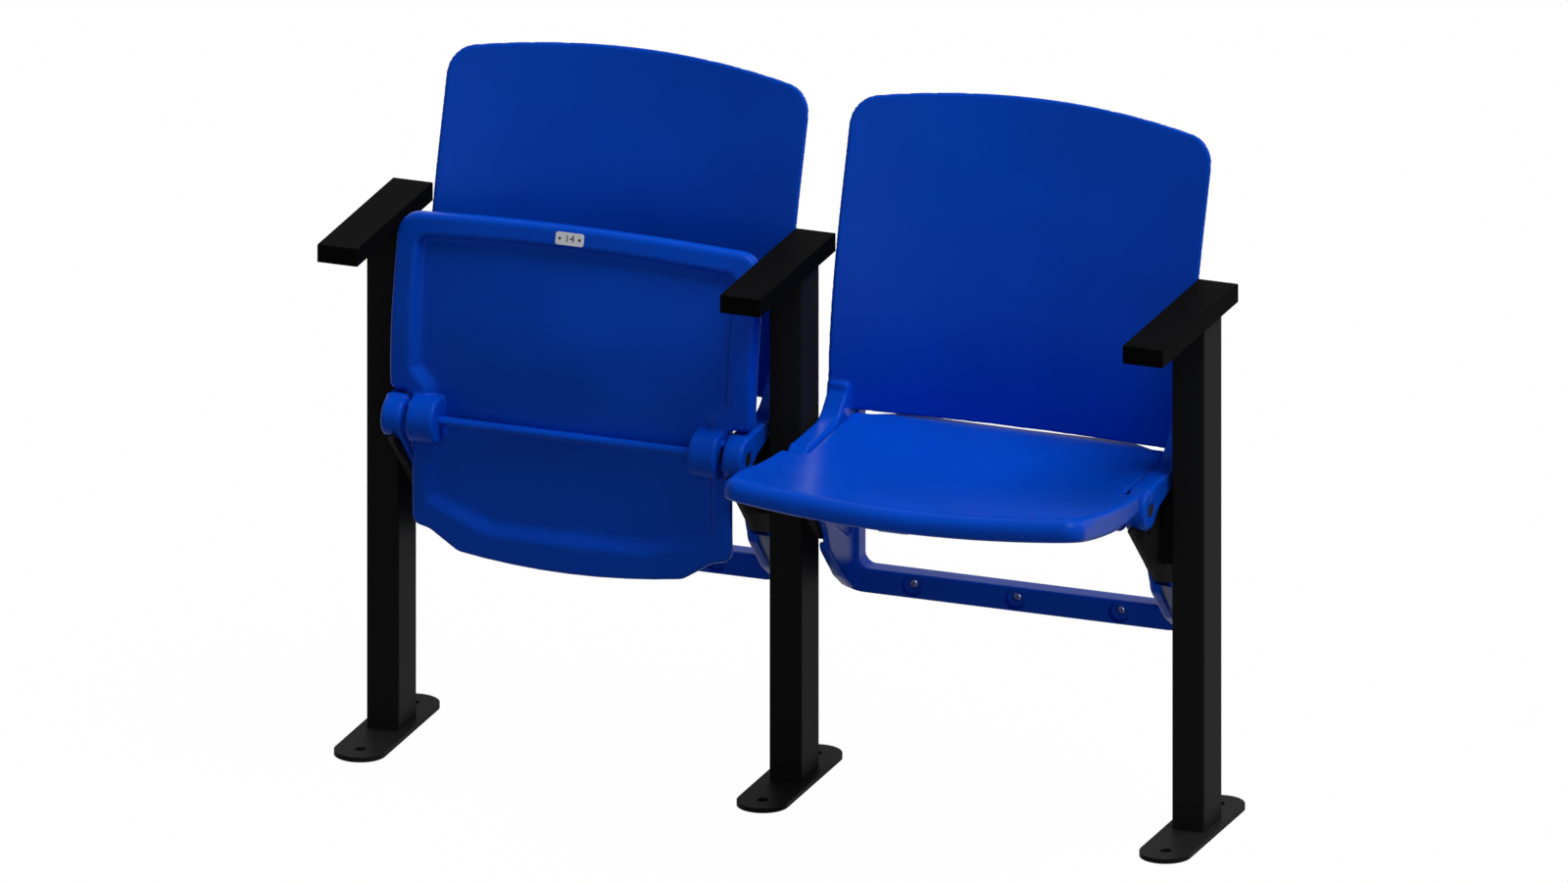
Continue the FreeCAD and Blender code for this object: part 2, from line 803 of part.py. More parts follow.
def pan_top(y):
    """Height of the top face along the middle, above the hinge line."""
    forward = max(size("pan_sweep_start") - y, 0)
    backward = max(y - size("pan_rise_start"), 0) / (size("pan_rear") - size("pan_rise_start"))
    return (size("pan_level") + forward ** 2 / (2 * size("pan_sweep_radius"))
            + size("pan_rise") * backward ** 2)


def pan_depth(y):
    """Depth of the rim below the top face, growing towards the front."""
    back, front = size("pan_hinge_back"), -size("pan_hinge_front")
    share = min(max((back - y) / (back - front), 0), 1)
    growth = share * share * (3 - 2 * share)
    return size("pan_rear_depth") + (size("pan_front_depth") - size("pan_rear_depth")) * growth


def pan_under(y):
    return pan_top(y) - pan_depth(y)


def pan_loft(top, bottom):
    margin = 8
    steps = 18
    width = size("pan_half_width") + margin
    dish = size("pan_dish") * (width / size("pan_half_width")) ** 2
    front, rear = -size("pan_front") - margin, size("pan_rear") + margin
    stations = [front + (rear - front) * step / steps for step in range(steps + 1)]
    return Part.makeLoft([band("y", y, width, bottom(y) + dish, top(y) + dish, -dish)
                          for y in stations], True, False)


def pan_outline():
    """The plan of the pan: bowed front, ears beside the hinges, and a stepped rear edge."""
    width, narrow = size("pan_half_width"), size("pan_rear_half_width")
    front, bow = -size("pan_front"), size("pan_front_bow")
    ear, shoulder, rear = -size("pan_ear"), size("pan_shoulder"), size("pan_rear")
    spots = [(width, front + bow), (width, ear), (narrow, ear), (narrow, shoulder),
             (size("pan_step_width"), size("pan_step")), (size("pan_tail_width"), size("pan_tail"))]
    right = [FreeCAD.Vector(x, y, 0) for x, y in spots]
    left = [FreeCAD.Vector(-x, y, 0) for x, y in reversed(spots)]
    edges = [Part.makeLine(a, b) for a, b in zip(right, right[1:])]
    edges.append(Part.Arc(right[-1], FreeCAD.Vector(0, rear, 0), left[0]).toShape())
    edges += [Part.makeLine(a, b) for a, b in zip(left, left[1:])]
    edges.append(Part.Arc(left[-1], FreeCAD.Vector(0, front, 0), right[0]).toShape())
    block = Part.Face(Part.Wire(edges))
    block.translate(Z_AXIS * -FAR)
    block = block.extrude(Z_AXIS * 2 * FAR)
    radii = [size("pan_corner"), size("pan_ear_corner"), size("pan_ear_corner"),
             size("pan_shoulder_corner"), size("pan_step_corner"), size("pan_tail_corner")]
    for spot, radius in zip(spots, radii):
        corners = [edge for edge in block.Edges if is_along(edge, Z_AXIS)
                   and abs(abs(edge.Vertexes[0].X) - spot[0]) < 0.01
                   and abs(edge.Vertexes[0].Y - spot[1]) < 0.01]
        block = block.makeFillet(radius, corners)
    return block


def pan_recess():
    """The plan of the hollow below: it narrows beside the hinge barrels."""
    half, bow = size("pan_half_width"), size("pan_front_bow")
    wide, narrow = half - size("rim_side"), half - size("rim_hinge_side")
    front = -size("pan_front") + size("rim_front")
    rear = size("pan_rear") - size("rim_rear")
    sag = size("recess_bow_share") * bow
    step_corner = size("recess_step_corner")
    corners = [(wide, front + sag, size("recess_front_corner")),
               (wide, -size("rim_hinge_start"), step_corner),
               (narrow, -size("rim_hinge_end"), step_corner),
               (narrow, size("rim_rear_start"), size("recess_rear_corner")),
               (half - size("rim_rear_side"), rear, size("recess_tail_corner"))]
    mirrored = [(-x, y, radius) for x, y, radius in reversed(corners)]
    middle = (0, front - sag, size("recess_sweep_radius"))
    return prism("XY", [middle] + corners + mirrored, -FAR, FAR)


def make_seat_pan(seat):
    outline = pan_outline()
    slab = overlap(pan_loft(pan_top, pan_under), outline, "the pan")
    rims = [edge for edge in slab.Edges if not is_along(edge, Z_AXIS)]
    slab = slab.makeFillet(size("pan_edge"), rims)
    hollow = pan_loft(lambda y: pan_under(y) + size("pan_hollow"), lambda y: pan_top(y) - FAR)
    slab = slab.cut(overlap(hollow, pan_recess(), "the hollow of the pan"))

    inner, outer = size("barrel_inner"), size("barrel_outer")
    under_top = overlap(pan_loft(pan_top, lambda y: pan_top(y) - FAR), outline, "the space below the top")
    barrels = [overlap(barrel, under_top, "a barrel")
               for barrel in both_sides(disc(size("barrel_radius"), inner, outer))]
    room = size("stop_outer_radius") + size("stop_room")
    slab = slab.cut(both_sides(disc(room, outer, size("wing_inner"))))
    stop = sector(outer - size("stop_root"), size("wing_inner") - size("stop_gap"),
                  180 - size("stop_angle") / 2, 180 + size("stop_angle") / 2)
    slab = slab.fuse(barrels + both_sides(stop))

    socket = inner + size("rod_socket")
    bush_end = outer - size("bush_length") - size("bush_end_gap")
    cuts = both_sides(disc(size("bush") / 2, bush_end, outer + PAST))
    cuts += both_sides(disc(size("rod") / 2, inner - PAST, socket))
    width = size("number_plate_width") + size("number_plate_room")
    height = size("number_plate_height") + size("number_plate_room")
    plate_cuts = [Part.makeBox(width, height, size("pan_front_depth"),
                               FreeCAD.Vector(-width / 2, -height / 2, -size("pan_front_depth")))]
    for x in (-size("rivet_spacing") / 2, size("rivet_spacing") / 2):
        plate_cuts.append(Part.makeCylinder(size("rivet") / 2, size("rivet_length"),
                                            FreeCAD.Vector(x, 0, -PAST)))
    for tool in plate_cuts:
        tool.Placement = on_front_rim(size("number_plate_recess"))
        cuts.append(tool)
    for x in (-size("plug_spacing") / 2, size("plug_spacing") / 2):
        cuts.append(Part.makeCylinder(size("plug") / 2, PAST + size("plug_recess") + size("plug_length"),
                                      FreeCAD.Vector(x, size("plug_y"),
                                                     plug_level() - size("plug_recess") - PAST)))
    item = doc.addObject("Part::Feature", seat + "_seat_pan")
    item.Shape = slab.cut(cuts).removeSplitter()
    ride_on_pan(item, seat)
    part(item, seat + "_seat_pan")


def rim_slope(y):
    """Slope of the rim's underside along the middle, in degrees."""
    reach = 5.0
    return math.degrees(math.atan((pan_under(y + reach) - pan_under(y - reach)) / (2 * reach)))


def on_front_rim(depth):
    """Where the number plate lies: flat on the sloping front rim, let in by the depth given."""
    y = size("number_plate_y")
    turn = FreeCAD.Rotation(X_AXIS, rim_slope(y))
    spot = FreeCAD.Vector(size("number_plate_x"), y, pan_under(y)) + turn.multVec(Z_AXIS * depth)
    return FreeCAD.Placement(spot, turn)


def plug_level():
    x = size("plug_spacing") / 2
    dish = size("pan_dish") * (x / size("pan_half_width")) ** 2
    return pan_under(size("plug_y")) + dish + size("plug_recess")


# Hinge hardware: pins fixed in the noses, bushes in the barrels, a rod between the barrels

def make_pivot_pins(seat):
    pins = []
    for side, sign in SIDES.items():
        name = "%s_pivot_pin_%s" % (seat, side)
        turn = FreeCAD.Rotation(Y_AXIS, -90 * sign)
        outer = "%d * (back_half_width - pin_head_recess" % sign
        shank = cylinder(name + "_shank", "pin", "back_half_width - pin_head_recess"
                         " - barrel_outer + bush_length", x=outer + ")", rotation=turn)
        head = cylinder(name + "_head", "pin_head", "pin_head_height",
                        x=outer + " + pin_head_height)", rotation=turn)
        drive = hexagon(name + "_drive", "pin / 2", "pin_head_height",
                        x=outer + " + 1.4 * pin_head_height)", rotation=turn)
        pins.append(cut(name, fuse(name + "_blank", shank, head), drive))
    pair = group(seat + "_pivot_pins", pins)
    put(pair, SEATS[seat], "pivot_y", "pivot_z")
    part(pair, seat + "_pivot_pins")


def make_pivot_bushes(seat):
    bushes = []
    for side, sign in SIDES.items():
        name = "%s_pivot_bush_%s" % (seat, side)
        turn = FreeCAD.Rotation(Y_AXIS, -90 * sign)
        sleeve = cylinder(name + "_sleeve", "bush", "bush_length",
                          x="%d * barrel_outer" % sign, rotation=turn)
        flange = cylinder(name + "_flange", "bush_flange", "bush_flange_thickness",
                          x="%d * (barrel_outer + bush_flange_thickness)" % sign, rotation=turn)
        bore = cylinder(name + "_bore", "pin + 2 * pin_clearance", "bush_length + 2 * bush_flange_thickness",
                        x="%d * (barrel_outer + 1.5 * bush_flange_thickness)" % sign, rotation=turn)
        bushes.append(cut(name, fuse(name + "_blank", sleeve, flange), bore))
    pair = group(seat + "_pivot_bushes", bushes)
    ride_on_pan(pair, seat)
    part(pair, seat + "_pivot_bushes")


def make_tie_rod(seat):
    half = "(barrel_inner + rod_socket - rod_end_gap)"
    rod = cylinder(seat + "_rod_bar", "rod", "2 * " + half, x="-" + half, rotation=ALONG_X)
    holder = group(seat + "_tie_rod", [rod])
    ride_on_pan(holder, seat)
    part(holder, seat + "_tie_rod")


# Number plate with two rivets, and two small vent plugs, all in the underside of the pan

def make_number_plate(seat):
    body = doc.addObject("PartDesign::Body", seat + "_number_plate")
    sketch = new_sketch(body, "outline", offset="-number_plate_thickness")
    add_polygon(sketch, rectangle("number_plate_width", "number_plate_height"))
    for side, sign in SIDES.items():
        add_circle(sketch, "%d * rivet_spacing / 2" % sign, "0", "rivet + rivet_room", side)
    plate = pad(body, sketch, "number_plate_thickness")
    fillet(body, plate, "number_plate_corner", lambda edge: is_along(edge, Z_AXIS)
           and abs(abs(edge.Vertexes[0].X) - size("number_plate_width") / 2) < 1e-6)
    ride_on_pan(body, seat)
    body.Placement = body.Placement.multiply(on_front_rim(size("number_plate_recess")))
    part(body, seat + "_number_plate")


def make_rivets(seat):
    rivets = []
    for side, sign in SIDES.items():
        name = "%s_rivet_%s" % (seat, side)
        x = "%d * rivet_spacing / 2" % sign
        shank = cylinder(name + "_shank", "rivet", "rivet_length - rivet_end_gap", x=x,
                         z="-number_plate_thickness")
        head = cylinder(name + "_head", "rivet_head", "rivet_head_height", x=x,
                        z="-number_plate_thickness - rivet_head_height")
        rivets.append(fuse(name, shank, head))
    pair = group(seat + "_plate_rivets", rivets)
    ride_on_pan(pair, seat)
    pair.Placement = pair.Placement.multiply(on_front_rim(size("number_plate_recess")))
    part(pair, seat + "_plate_rivets")


def make_plugs(seat):
    plugs = []
    level = repr(plug_level())
    for side, sign in SIDES.items():
        plugs.append(cylinder("%s_plug_%s" % (seat, side), "plug", "plug_length",
                              x="%d * plug_spacing / 2" % sign, y="plug_y", z=level))
    pair = group(seat + "_vent_plugs", plugs)
    ride_on_pan(pair, seat)
    part(pair, seat + "_vent_plugs")


# Brackets: a plate flat on the outside of the wing, and a welded block that meets the post

def make_bracket(seat, side):
    sign = SIDES[side]
    name = "%s_bracket_%s" % (seat, side)
    body = doc.addObject("PartDesign::Body", name)
    plate_sketch = new_sketch(body, "plate", "YZ_Plane")
    room = " - bracket_room"
    add_polygon(plate_sketch, [
        ("bracket_tip_y", "bracket_tip_z"), ("bracket_knee_y", "bracket_knee_z"),
        ("flange_back_y", "bracket_foot_z"), ("flange_back_y", "wing_top - flange_back_depth" + room),
        ("flange_knee_y", "wing_top - flange_knee_depth" + room),
        ("pivot_y + nose_radius / 2", "pivot_z - nose_radius / 2")])
    for index in ("one", "two"):
        add_circle(plate_sketch, "bolt_%s_y" % index, "bolt_%s_z" % index, "bolt", "bolt" + index)
    plate = pad(body, plate_sketch, "bracket_thickness", reverse=sign < 0)
    knee = FreeCAD.Vector(0, size("bracket_knee_y"), size("bracket_knee_z"))
    rounded = fillet(body, plate, "bracket_corner", lambda edge: is_along(edge, X_AXIS)
                     and abs(edge.Vertexes[0].Y - knee.y) + abs(edge.Vertexes[0].Z - knee.z) < 0.01)
    nose_room = new_sketch(body, "nose_room", "YZ_Plane")
    add_circle(nose_room, "pivot_y", "pivot_z", "2 * (nose_radius + bracket_nose_room)", "nose")
    pocket(body, nose_room, "bracket_thickness", reverse=sign > 0)
    block = new_sketch(body, "standoff", "YZ_Plane", "%d * bracket_thickness" % sign)
    add_polygon(block, [
        ("standoff_front_y", "standoff_bottom"), ("standoff_front_y + standoff_depth", "standoff_bottom"),
        ("standoff_front_y + standoff_depth", "standoff_bottom + standoff_height"),
        ("standoff_front_y", "standoff_bottom + standoff_height")])
    pad(body, block, "pitch / 2 - post_width / 2 - wing_inner - web_thickness - bracket_gap"
                     " - bracket_thickness", reverse=sign < 0)
    put(body, "%s + %d * (wing_inner + web_thickness + bracket_gap)" % (SEATS[seat], sign))
    part(body, name)


def make_bracket_bolts(seat):
    """Countersunk screws from the inside of the wing, flush with the outside of the bracket."""
    bolts = []
    for side, sign in SIDES.items():
        turn = FreeCAD.Rotation(Y_AXIS, 90 * sign)
        for index in ("one", "two"):
            spot = {"y": "bolt_%s_y" % index, "z": "bolt_%s_z" % index}
            name = "%s_bolt_%s_%s" % (seat, side, index)
            head = doc.addObject("Part::Cone", name + "_head")
            head.Placement = FreeCAD.Placement(FreeCAD.Vector(), turn)
            bind(head, Radius1="bolt_head / 2", Radius2="bolt / 2", Height="bolt_head_height")
            put(head, "%d * wing_inner" % sign, spot["y"], spot["z"])
            shank = cylinder(name + "_shank", "bolt", "web_thickness + bracket_gap + bracket_thickness"
                             " - bolt_head_height",
                             x="%d * (wing_inner + bolt_head_height)" % sign, rotation=turn, **spot)
            drive = hexagon(name + "_drive", "bolt * 0.6", "bolt_head_height",
                            x="%d * (wing_inner - 0.3 * bolt_head_height)" % sign, rotation=turn, **spot)
            bolts.append(cut(name, fuse(name + "_blank", head, shank), drive))
    bundle = group(seat + "_bracket_bolts", bolts)
    put(bundle, SEATS[seat])
    part(bundle, seat + "_bracket_bolts")


for post_name in POSTS:
    make_base_plate(post_name)
    make_post(post_name)
    make_arm_strip(post_name)
    make_armrest(post_name)
    make_arm_screws(post_name)
for seat_name in SEATS:
    make_back_shell(seat_name)
    make_seat_pan(seat_name)
    make_pivot_pins(seat_name)
    make_pivot_bushes(seat_name)
    make_tie_rod(seat_name)
    make_number_plate(seat_name)
    make_rivets(seat_name)
    make_plugs(seat_name)
    make_bracket_bolts(seat_name)
    for side_name in SIDES:
        make_bracket(seat_name, side_name)

doc.recompute()
for item in doc.Objects:
    if "Invalid" in item.State or "Error" in item.State:
        raise ValueError("%s failed: %s" % (item.Label, item.State))
for item in parts:
    if item.Shape.isNull() or not item.Shape.isValid():
        raise ValueError("%s has no valid shape" % item.Label)
    print("%-28s solids %d  volume %10.0f" % (item.Label, len(item.Shape.Solids), item.Shape.Volume))

os.makedirs("parts", exist_ok=True)
for item in parts:
    item.Shape.exportStep("parts/%s.step" % item.Label)
print("parts written:", len(parts))
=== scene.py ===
import math
import bpy
import numpy as np
from mathutils import Matrix, Vector


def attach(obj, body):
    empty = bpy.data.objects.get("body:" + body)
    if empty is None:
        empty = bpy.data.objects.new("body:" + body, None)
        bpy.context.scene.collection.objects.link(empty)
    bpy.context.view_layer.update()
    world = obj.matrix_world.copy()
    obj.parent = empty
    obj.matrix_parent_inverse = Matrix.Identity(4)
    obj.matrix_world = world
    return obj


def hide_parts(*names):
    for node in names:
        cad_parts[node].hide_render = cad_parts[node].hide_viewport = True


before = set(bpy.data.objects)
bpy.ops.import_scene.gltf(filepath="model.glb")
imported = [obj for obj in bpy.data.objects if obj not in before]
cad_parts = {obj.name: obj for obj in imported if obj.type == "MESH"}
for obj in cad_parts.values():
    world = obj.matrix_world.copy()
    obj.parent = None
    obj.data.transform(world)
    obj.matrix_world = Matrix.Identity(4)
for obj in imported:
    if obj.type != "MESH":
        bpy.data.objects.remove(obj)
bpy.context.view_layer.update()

# Two tip-up stadium seats on three posts. Sizes in the dictionaries are millimetres.
# Each seat is drawn about its own middle, X to the right, Y to the back, Z up from the floor.

print("scene: frame loaded,", len(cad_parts), "nodes")

seatCentre = {"left": -250.0, "right": 250.0}
hingeLine = {"y": -68.0, "z": 415.0}
postPlaces = {"left": -500.0, "middle": 0.0, "right": 500.0}
mm = 0.001


# Small helpers

def linear(hexText):
    values = [int(hexText[i:i + 2], 16) / 255 for i in (1, 3, 5)]
    return [v / 12.92 if v <= 0.04045 else ((v + 0.055) / 1.055) ** 2.4 for v in values] + [1.0]


def addNode(tree, kind, inputs=None, **settings):
    node = tree.nodes.new(kind)
    for name, value in settings.items():
        setattr(node, name, value)
    for name, value in (inputs or {}).items():
        if isinstance(value, bpy.types.NodeSocket):
            tree.links.new(value, node.inputs[name])
        else:
            node.inputs[name].default_value = value
    return node


def addObject(name, mesh):
    obj = bpy.data.objects.new(name, mesh)
    bpy.context.scene.collection.objects.link(obj)
    return obj


def meshFrom(name, points, faces, smooth=True):
    mesh = bpy.data.meshes.new(name)
    mesh.from_pydata([tuple(p) for p in points], [], [tuple(f) for f in faces])
    mesh.update()
    if smooth:
        mesh.polygons.foreach_set("use_smooth", [True] * len(mesh.polygons))
    return mesh


# Distance functions for the moulded shells. Each gives how far a point is from a surface,
# negative inside and positive outside.

# a closed outline through (a, b, radius) corners, each radius drawn as a short arc
def roundedLine(corners, arcSteps=6):
    points = []
    for i, (a, b, radius) in enumerate(corners):
        here = np.array((a, b))
        before = np.array(corners[i - 1][:2]) - here
        after = np.array(corners[(i + 1) % len(corners)][:2]) - here
        before, after = before / np.linalg.norm(before), after / np.linalg.norm(after)
        if radius == 0:
            points.append(here)
            continue
        half = math.acos(np.clip(before @ after, -1, 1)) / 2
        middle = (before + after) / np.linalg.norm(before + after)
        centre = here + middle * radius / math.sin(half)
        start = here + before * radius / math.tan(half) - centre
        end = here + after * radius / math.tan(half) - centre
        turn = math.atan2(start[0] * end[1] - start[1] * end[0], start @ end)
        for step in range(arcSteps + 1):
            angle = turn * step / arcSteps
            c, s = math.cos(angle), math.sin(angle)
            points.append(centre + (start[0] * c - start[1] * s, start[0] * s + start[1] * c))
    return np.array(points)


def outline(line, a, b):
    shape = np.broadcast(a, b).shape
    nearest = np.full(shape, 1e12)
    inside = np.zeros(shape, bool)
    for (a0, b0), (a1, b1) in zip(line, np.roll(line, -1, axis=0)):
        da, db = a1 - a0, b1 - b0
        length = da * da + db * db
        if length < 1e-12:
            continue
        along = np.clip(((a - a0) * da + (b - b0) * db) / length, 0, 1)
        nearest = np.minimum(nearest, (a - a0 - along * da) ** 2 + (b - b0 - along * db) ** 2)
        crosses = (b0 > b) != (b1 > b)
        if b1 != b0:
            inside ^= crosses & (a < a0 + (b - b0) * da / db)
    return np.sqrt(nearest) * np.where(inside, -1, 1)


# where both are inside, with the edge between them rounded
def meet(a, b, radius=0.0):
    if np.ndim(radius) == 0 and radius == 0:
        return np.maximum(a, b)
    return np.minimum(-radius, np.maximum(a, b)) + np.hypot(np.maximum(a + radius, 0),
                                                            np.maximum(b + radius, 0))


# where either is inside, with the corner between them filled
def join(a, b, radius=0.0):
    if np.ndim(radius) == 0 and radius == 0:
        return np.minimum(a, b)
    return np.maximum(radius, np.minimum(a, b)) - np.hypot(np.maximum(radius - a, 0),
                                                           np.maximum(radius - b, 0))


def between(value, low, high):
    return np.maximum(low - value, value - high)


def smoothStep(value, low, high):
    share = np.clip((value - low) / (high - low), 0, 1)
    return share * share * (3 - 2 * share)


# turns a distance function into a mesh of even quads, whose corners are pulled onto the surface
def skinMesh(name, distance, axes, pulls=4, nudgeBy=0.05):
    xs, ys, zs = axes
    field = distance(xs[:, None, None], ys[None, :, None], zs[None, None, :])
    inside = field < 0
    count = np.zeros([n - 1 for n in inside.shape], np.int8)
    for i in (0, 1):
        for j in (0, 1):
            for k in (0, 1):
                count += inside[i:i + count.shape[0], j:j + count.shape[1], k:k + count.shape[2]]
    cells = np.argwhere((count > 0) & (count < 8))
    number = np.full(count.shape, -1, np.int32)
    number[tuple(cells.T)] = np.arange(len(cells))

    corner = np.array([(i, j, k) for i in (0, 1) for j in (0, 1) for k in (0, 1)])
    value = np.stack([field[tuple((cells + c).T)] for c in corner], axis=1)
    total, crossings = np.zeros((len(cells), 3)), np.zeros(len(cells))
    for first in range(8):
        for second in range(first + 1, 8):
            if np.abs(corner[first] - corner[second]).sum() != 1:
                continue
            a, b = value[:, first], value[:, second]
            cross = (a < 0) != (b < 0)
            share = np.where(cross, a / np.where(cross, a - b, 1), 0)
            spot = corner[first] + share[:, None] * (corner[second] - corner[first])
            total += np.where(cross[:, None], spot, 0)
            crossings += cross
    place = total / crossings[:, None]
    points = np.stack([axis[cells[:, n]] + place[:, n] * (axis[cells[:, n] + 1] - axis[cells[:, n]])
                       for n, axis in enumerate(axes)], axis=1)
    reach = min(np.diff(axis).min() for axis in axes)
    for _ in range(pulls):
        here = distance(points[:, 0], points[:, 1], points[:, 2])
        slope = np.empty_like(points)
        for n in range(3):
            nudge = np.zeros(3)
            nudge[n] = nudgeBy
            ahead, behind = points + nudge, points - nudge
            slope[:, n] = (distance(*ahead.T) - distance(*behind.T)) / (2 * nudgeBy)
        size = np.maximum((slope ** 2).sum(axis=1), 0.2)
        step = (here / size)[:, None] * slope
        length = np.maximum(np.linalg.norm(step, axis=1), 1e-9)
        points -= step * np.minimum(1, reach / length)[:, None]

    faces = []
    for axis in range(3):
        low = [slice(None)] * 3
        high = [slice(None)] * 3
        low[axis], high[axis] = slice(0, -1), slice(1, None)
        here, there = inside[tuple(low)], inside[tuple(high)]
        for outwards in (True, False):
            edges = np.argwhere(here & ~there if outwards else there & ~here)
            u, v = (axis + 1) % 3, (axis + 2) % 3
            edges = edges[(edges[:, u] > 0) & (edges[:, v] > 0)]
            ring = []
            for back in ((1, 1), (0, 1), (0, 0), (1, 0)):
                cell = edges.copy()
                cell[:, u] -= back[0]
                cell[:, v] -= back[1]
                ring.append(number[tuple(cell.T)])
            quads = np.stack(ring, axis=1)
            faces.append(quads if outwards else quads[:, ::-1])
    faces = np.concatenate(faces)

    mesh = bpy.data.meshes.new(name)
    mesh.vertices.add(len(points))
    mesh.vertices.foreach_set("co", (points * mm).ravel())
    mesh.loops.add(faces.size)
    mesh.loops.foreach_set("vertex_index", faces.ravel())
    mesh.polygons.add(len(faces))
    mesh.polygons.foreach_set("loop_start", np.arange(0, faces.size, 4))
    mesh.polygons.foreach_set("use_smooth", np.ones(len(faces), bool))
    mesh.update(calc_edges=True)
    mesh.validate()
    return mesh


def steps(low, high, spacing):
    return np.linspace(low, high, int(round((high - low) / spacing)) + 1)


# Seat pan: one moulding, drawn about the hinge line in its sitting position

pan = {
    "halfWidth": 224.5, "rearHalfWidth": 197.5, "front": 247.5, "frontBow": 11.0, "corner": 26.0,
    "ear": 30.0, "earCorner": 7.5, "shoulder": 134.0, "shoulderCorner": 12.0,
    "stepWidth": 175.5, "step": 138.0, "stepCorner": 25.0, "tailWidth": 139.5, "tail": 161.0,
    "tailCorner": 22.0, "rear": 170.3,
    "dish": 15.0, "level": 14.0, "sweepRadius": 940.0, "sweepStart": 33.0, "rise": 3.5, "riseStart": 60.0,
    "rearDepth": 17.0, "frontDepth": 29.8, "depthFrom": 60.0, "depthTo": -130.0,
    "sideEdge": 7.0, "lipEdge": 20.0, "lipFrom": 165.0, "lipTo": 225.0,
    "rearEdge": 4.0, "rearEdgeFrom": 110.0, "rearEdgeTo": 150.0, "underEdge": 5.0, "lipSpan": 0.8,
    "hollow": 12.0, "hollowEdge": 2.5, "hollowFoot": 3.0,
    "steepWall": 7.0, "easyWall": 12.5, "wallFrom": -190.0, "wallTo": -40.0,
    "rimFront": 23.0, "rimSide": 25.5, "rimHingeSide": 45.0, "rimHingeStart": 57.0, "rimHingeEnd": 37.0,
    "rimRearStart": 104.0, "rimRearSide": 124.0, "rimRear": 37.0,
    "rimBowShare": 0.8, "rimFrontRound": 7.5,
    "rimCorners": {"front": 15.0, "hinge": 10.0, "side": 16.0, "rear": 24.0},
    "barrelInner": 158.0, "barrelOuter": 192.0, "barrelRadius": 28.5, "barrelEdge": 4.0,
    "barrelFillet": 4.0, "barrelUnderTop": 0.5, "bushBore": 14.0, "bushEnd": 170.0, "rodBore": 12.0,
    "rodEnd": 168.0, "borePast": 8.0,
    "stopInner": 12.5, "stopOuter": 18.0, "stopEnd": 198.2, "stopRoot": 1.0, "stopHalfAngle": 20.0,
    "roomAroundStop": 1.5, "roomPast": 5.0,
    "grid": 2.3, "gridX": (-228, 228), "gridY": (-256, 178), "gridZ": (-34, 86),
}


def panOutline():
    p = pan
    frontY = -p["front"] + p["frontBow"]
    right = [(p["halfWidth"], frontY, p["corner"]), (p["halfWidth"], -p["ear"], p["earCorner"]),
             (p["rearHalfWidth"], -p["ear"], p["earCorner"]),
             (p["rearHalfWidth"], p["shoulder"], p["shoulderCorner"]),
             (p["stepWidth"], p["step"], p["stepCorner"]), (p["tailWidth"], p["tail"], p["tailCorner"])]
    bowed = []
    for step in range(1, 8):
        x = p["tailWidth"] * (1 - step / 4)
        bowed.append((x, p["rear"] - (p["rear"] - p["tail"]) * (x / p["tailWidth"]) ** 2, 0))
    left = [(-x, y, r) for x, y, r in reversed(right)]
    lip = []
    for step in range(1, 10):
        x = -p["halfWidth"] * (1 - step / 5) * p["lipSpan"]
        lip.append((x, -p["front"] + p["frontBow"] * (x / p["halfWidth"]) ** 2, 0))
    return roundedLine(right + bowed + left + lip)


def recessOutline():
    p = pan
    corner = p["rimCorners"]
    front, rear = -p["front"] + p["rimFront"], p["rear"] - p["rimRear"]
    bow = p["rimBowShare"] * p["frontBow"]
    wide, narrow = p["halfWidth"] - p["rimSide"], p["halfWidth"] - p["rimHingeSide"]
    right = [(wide, front + bow, corner["front"]), (wide, -p["rimHingeStart"], corner["hinge"]),
             (narrow, -p["rimHingeEnd"], corner["hinge"]), (narrow, p["rimRearStart"], corner["side"]),
             (p["halfWidth"] - p["rimRearSide"], rear, corner["rear"])]
    middle = (0, front - bow, p["rimFrontRound"] * p["halfWidth"])
    return roundedLine([middle] + right + [(-x, y, r) for x, y, r in reversed(right)])


panLine, recessLine = panOutline(), recessOutline()


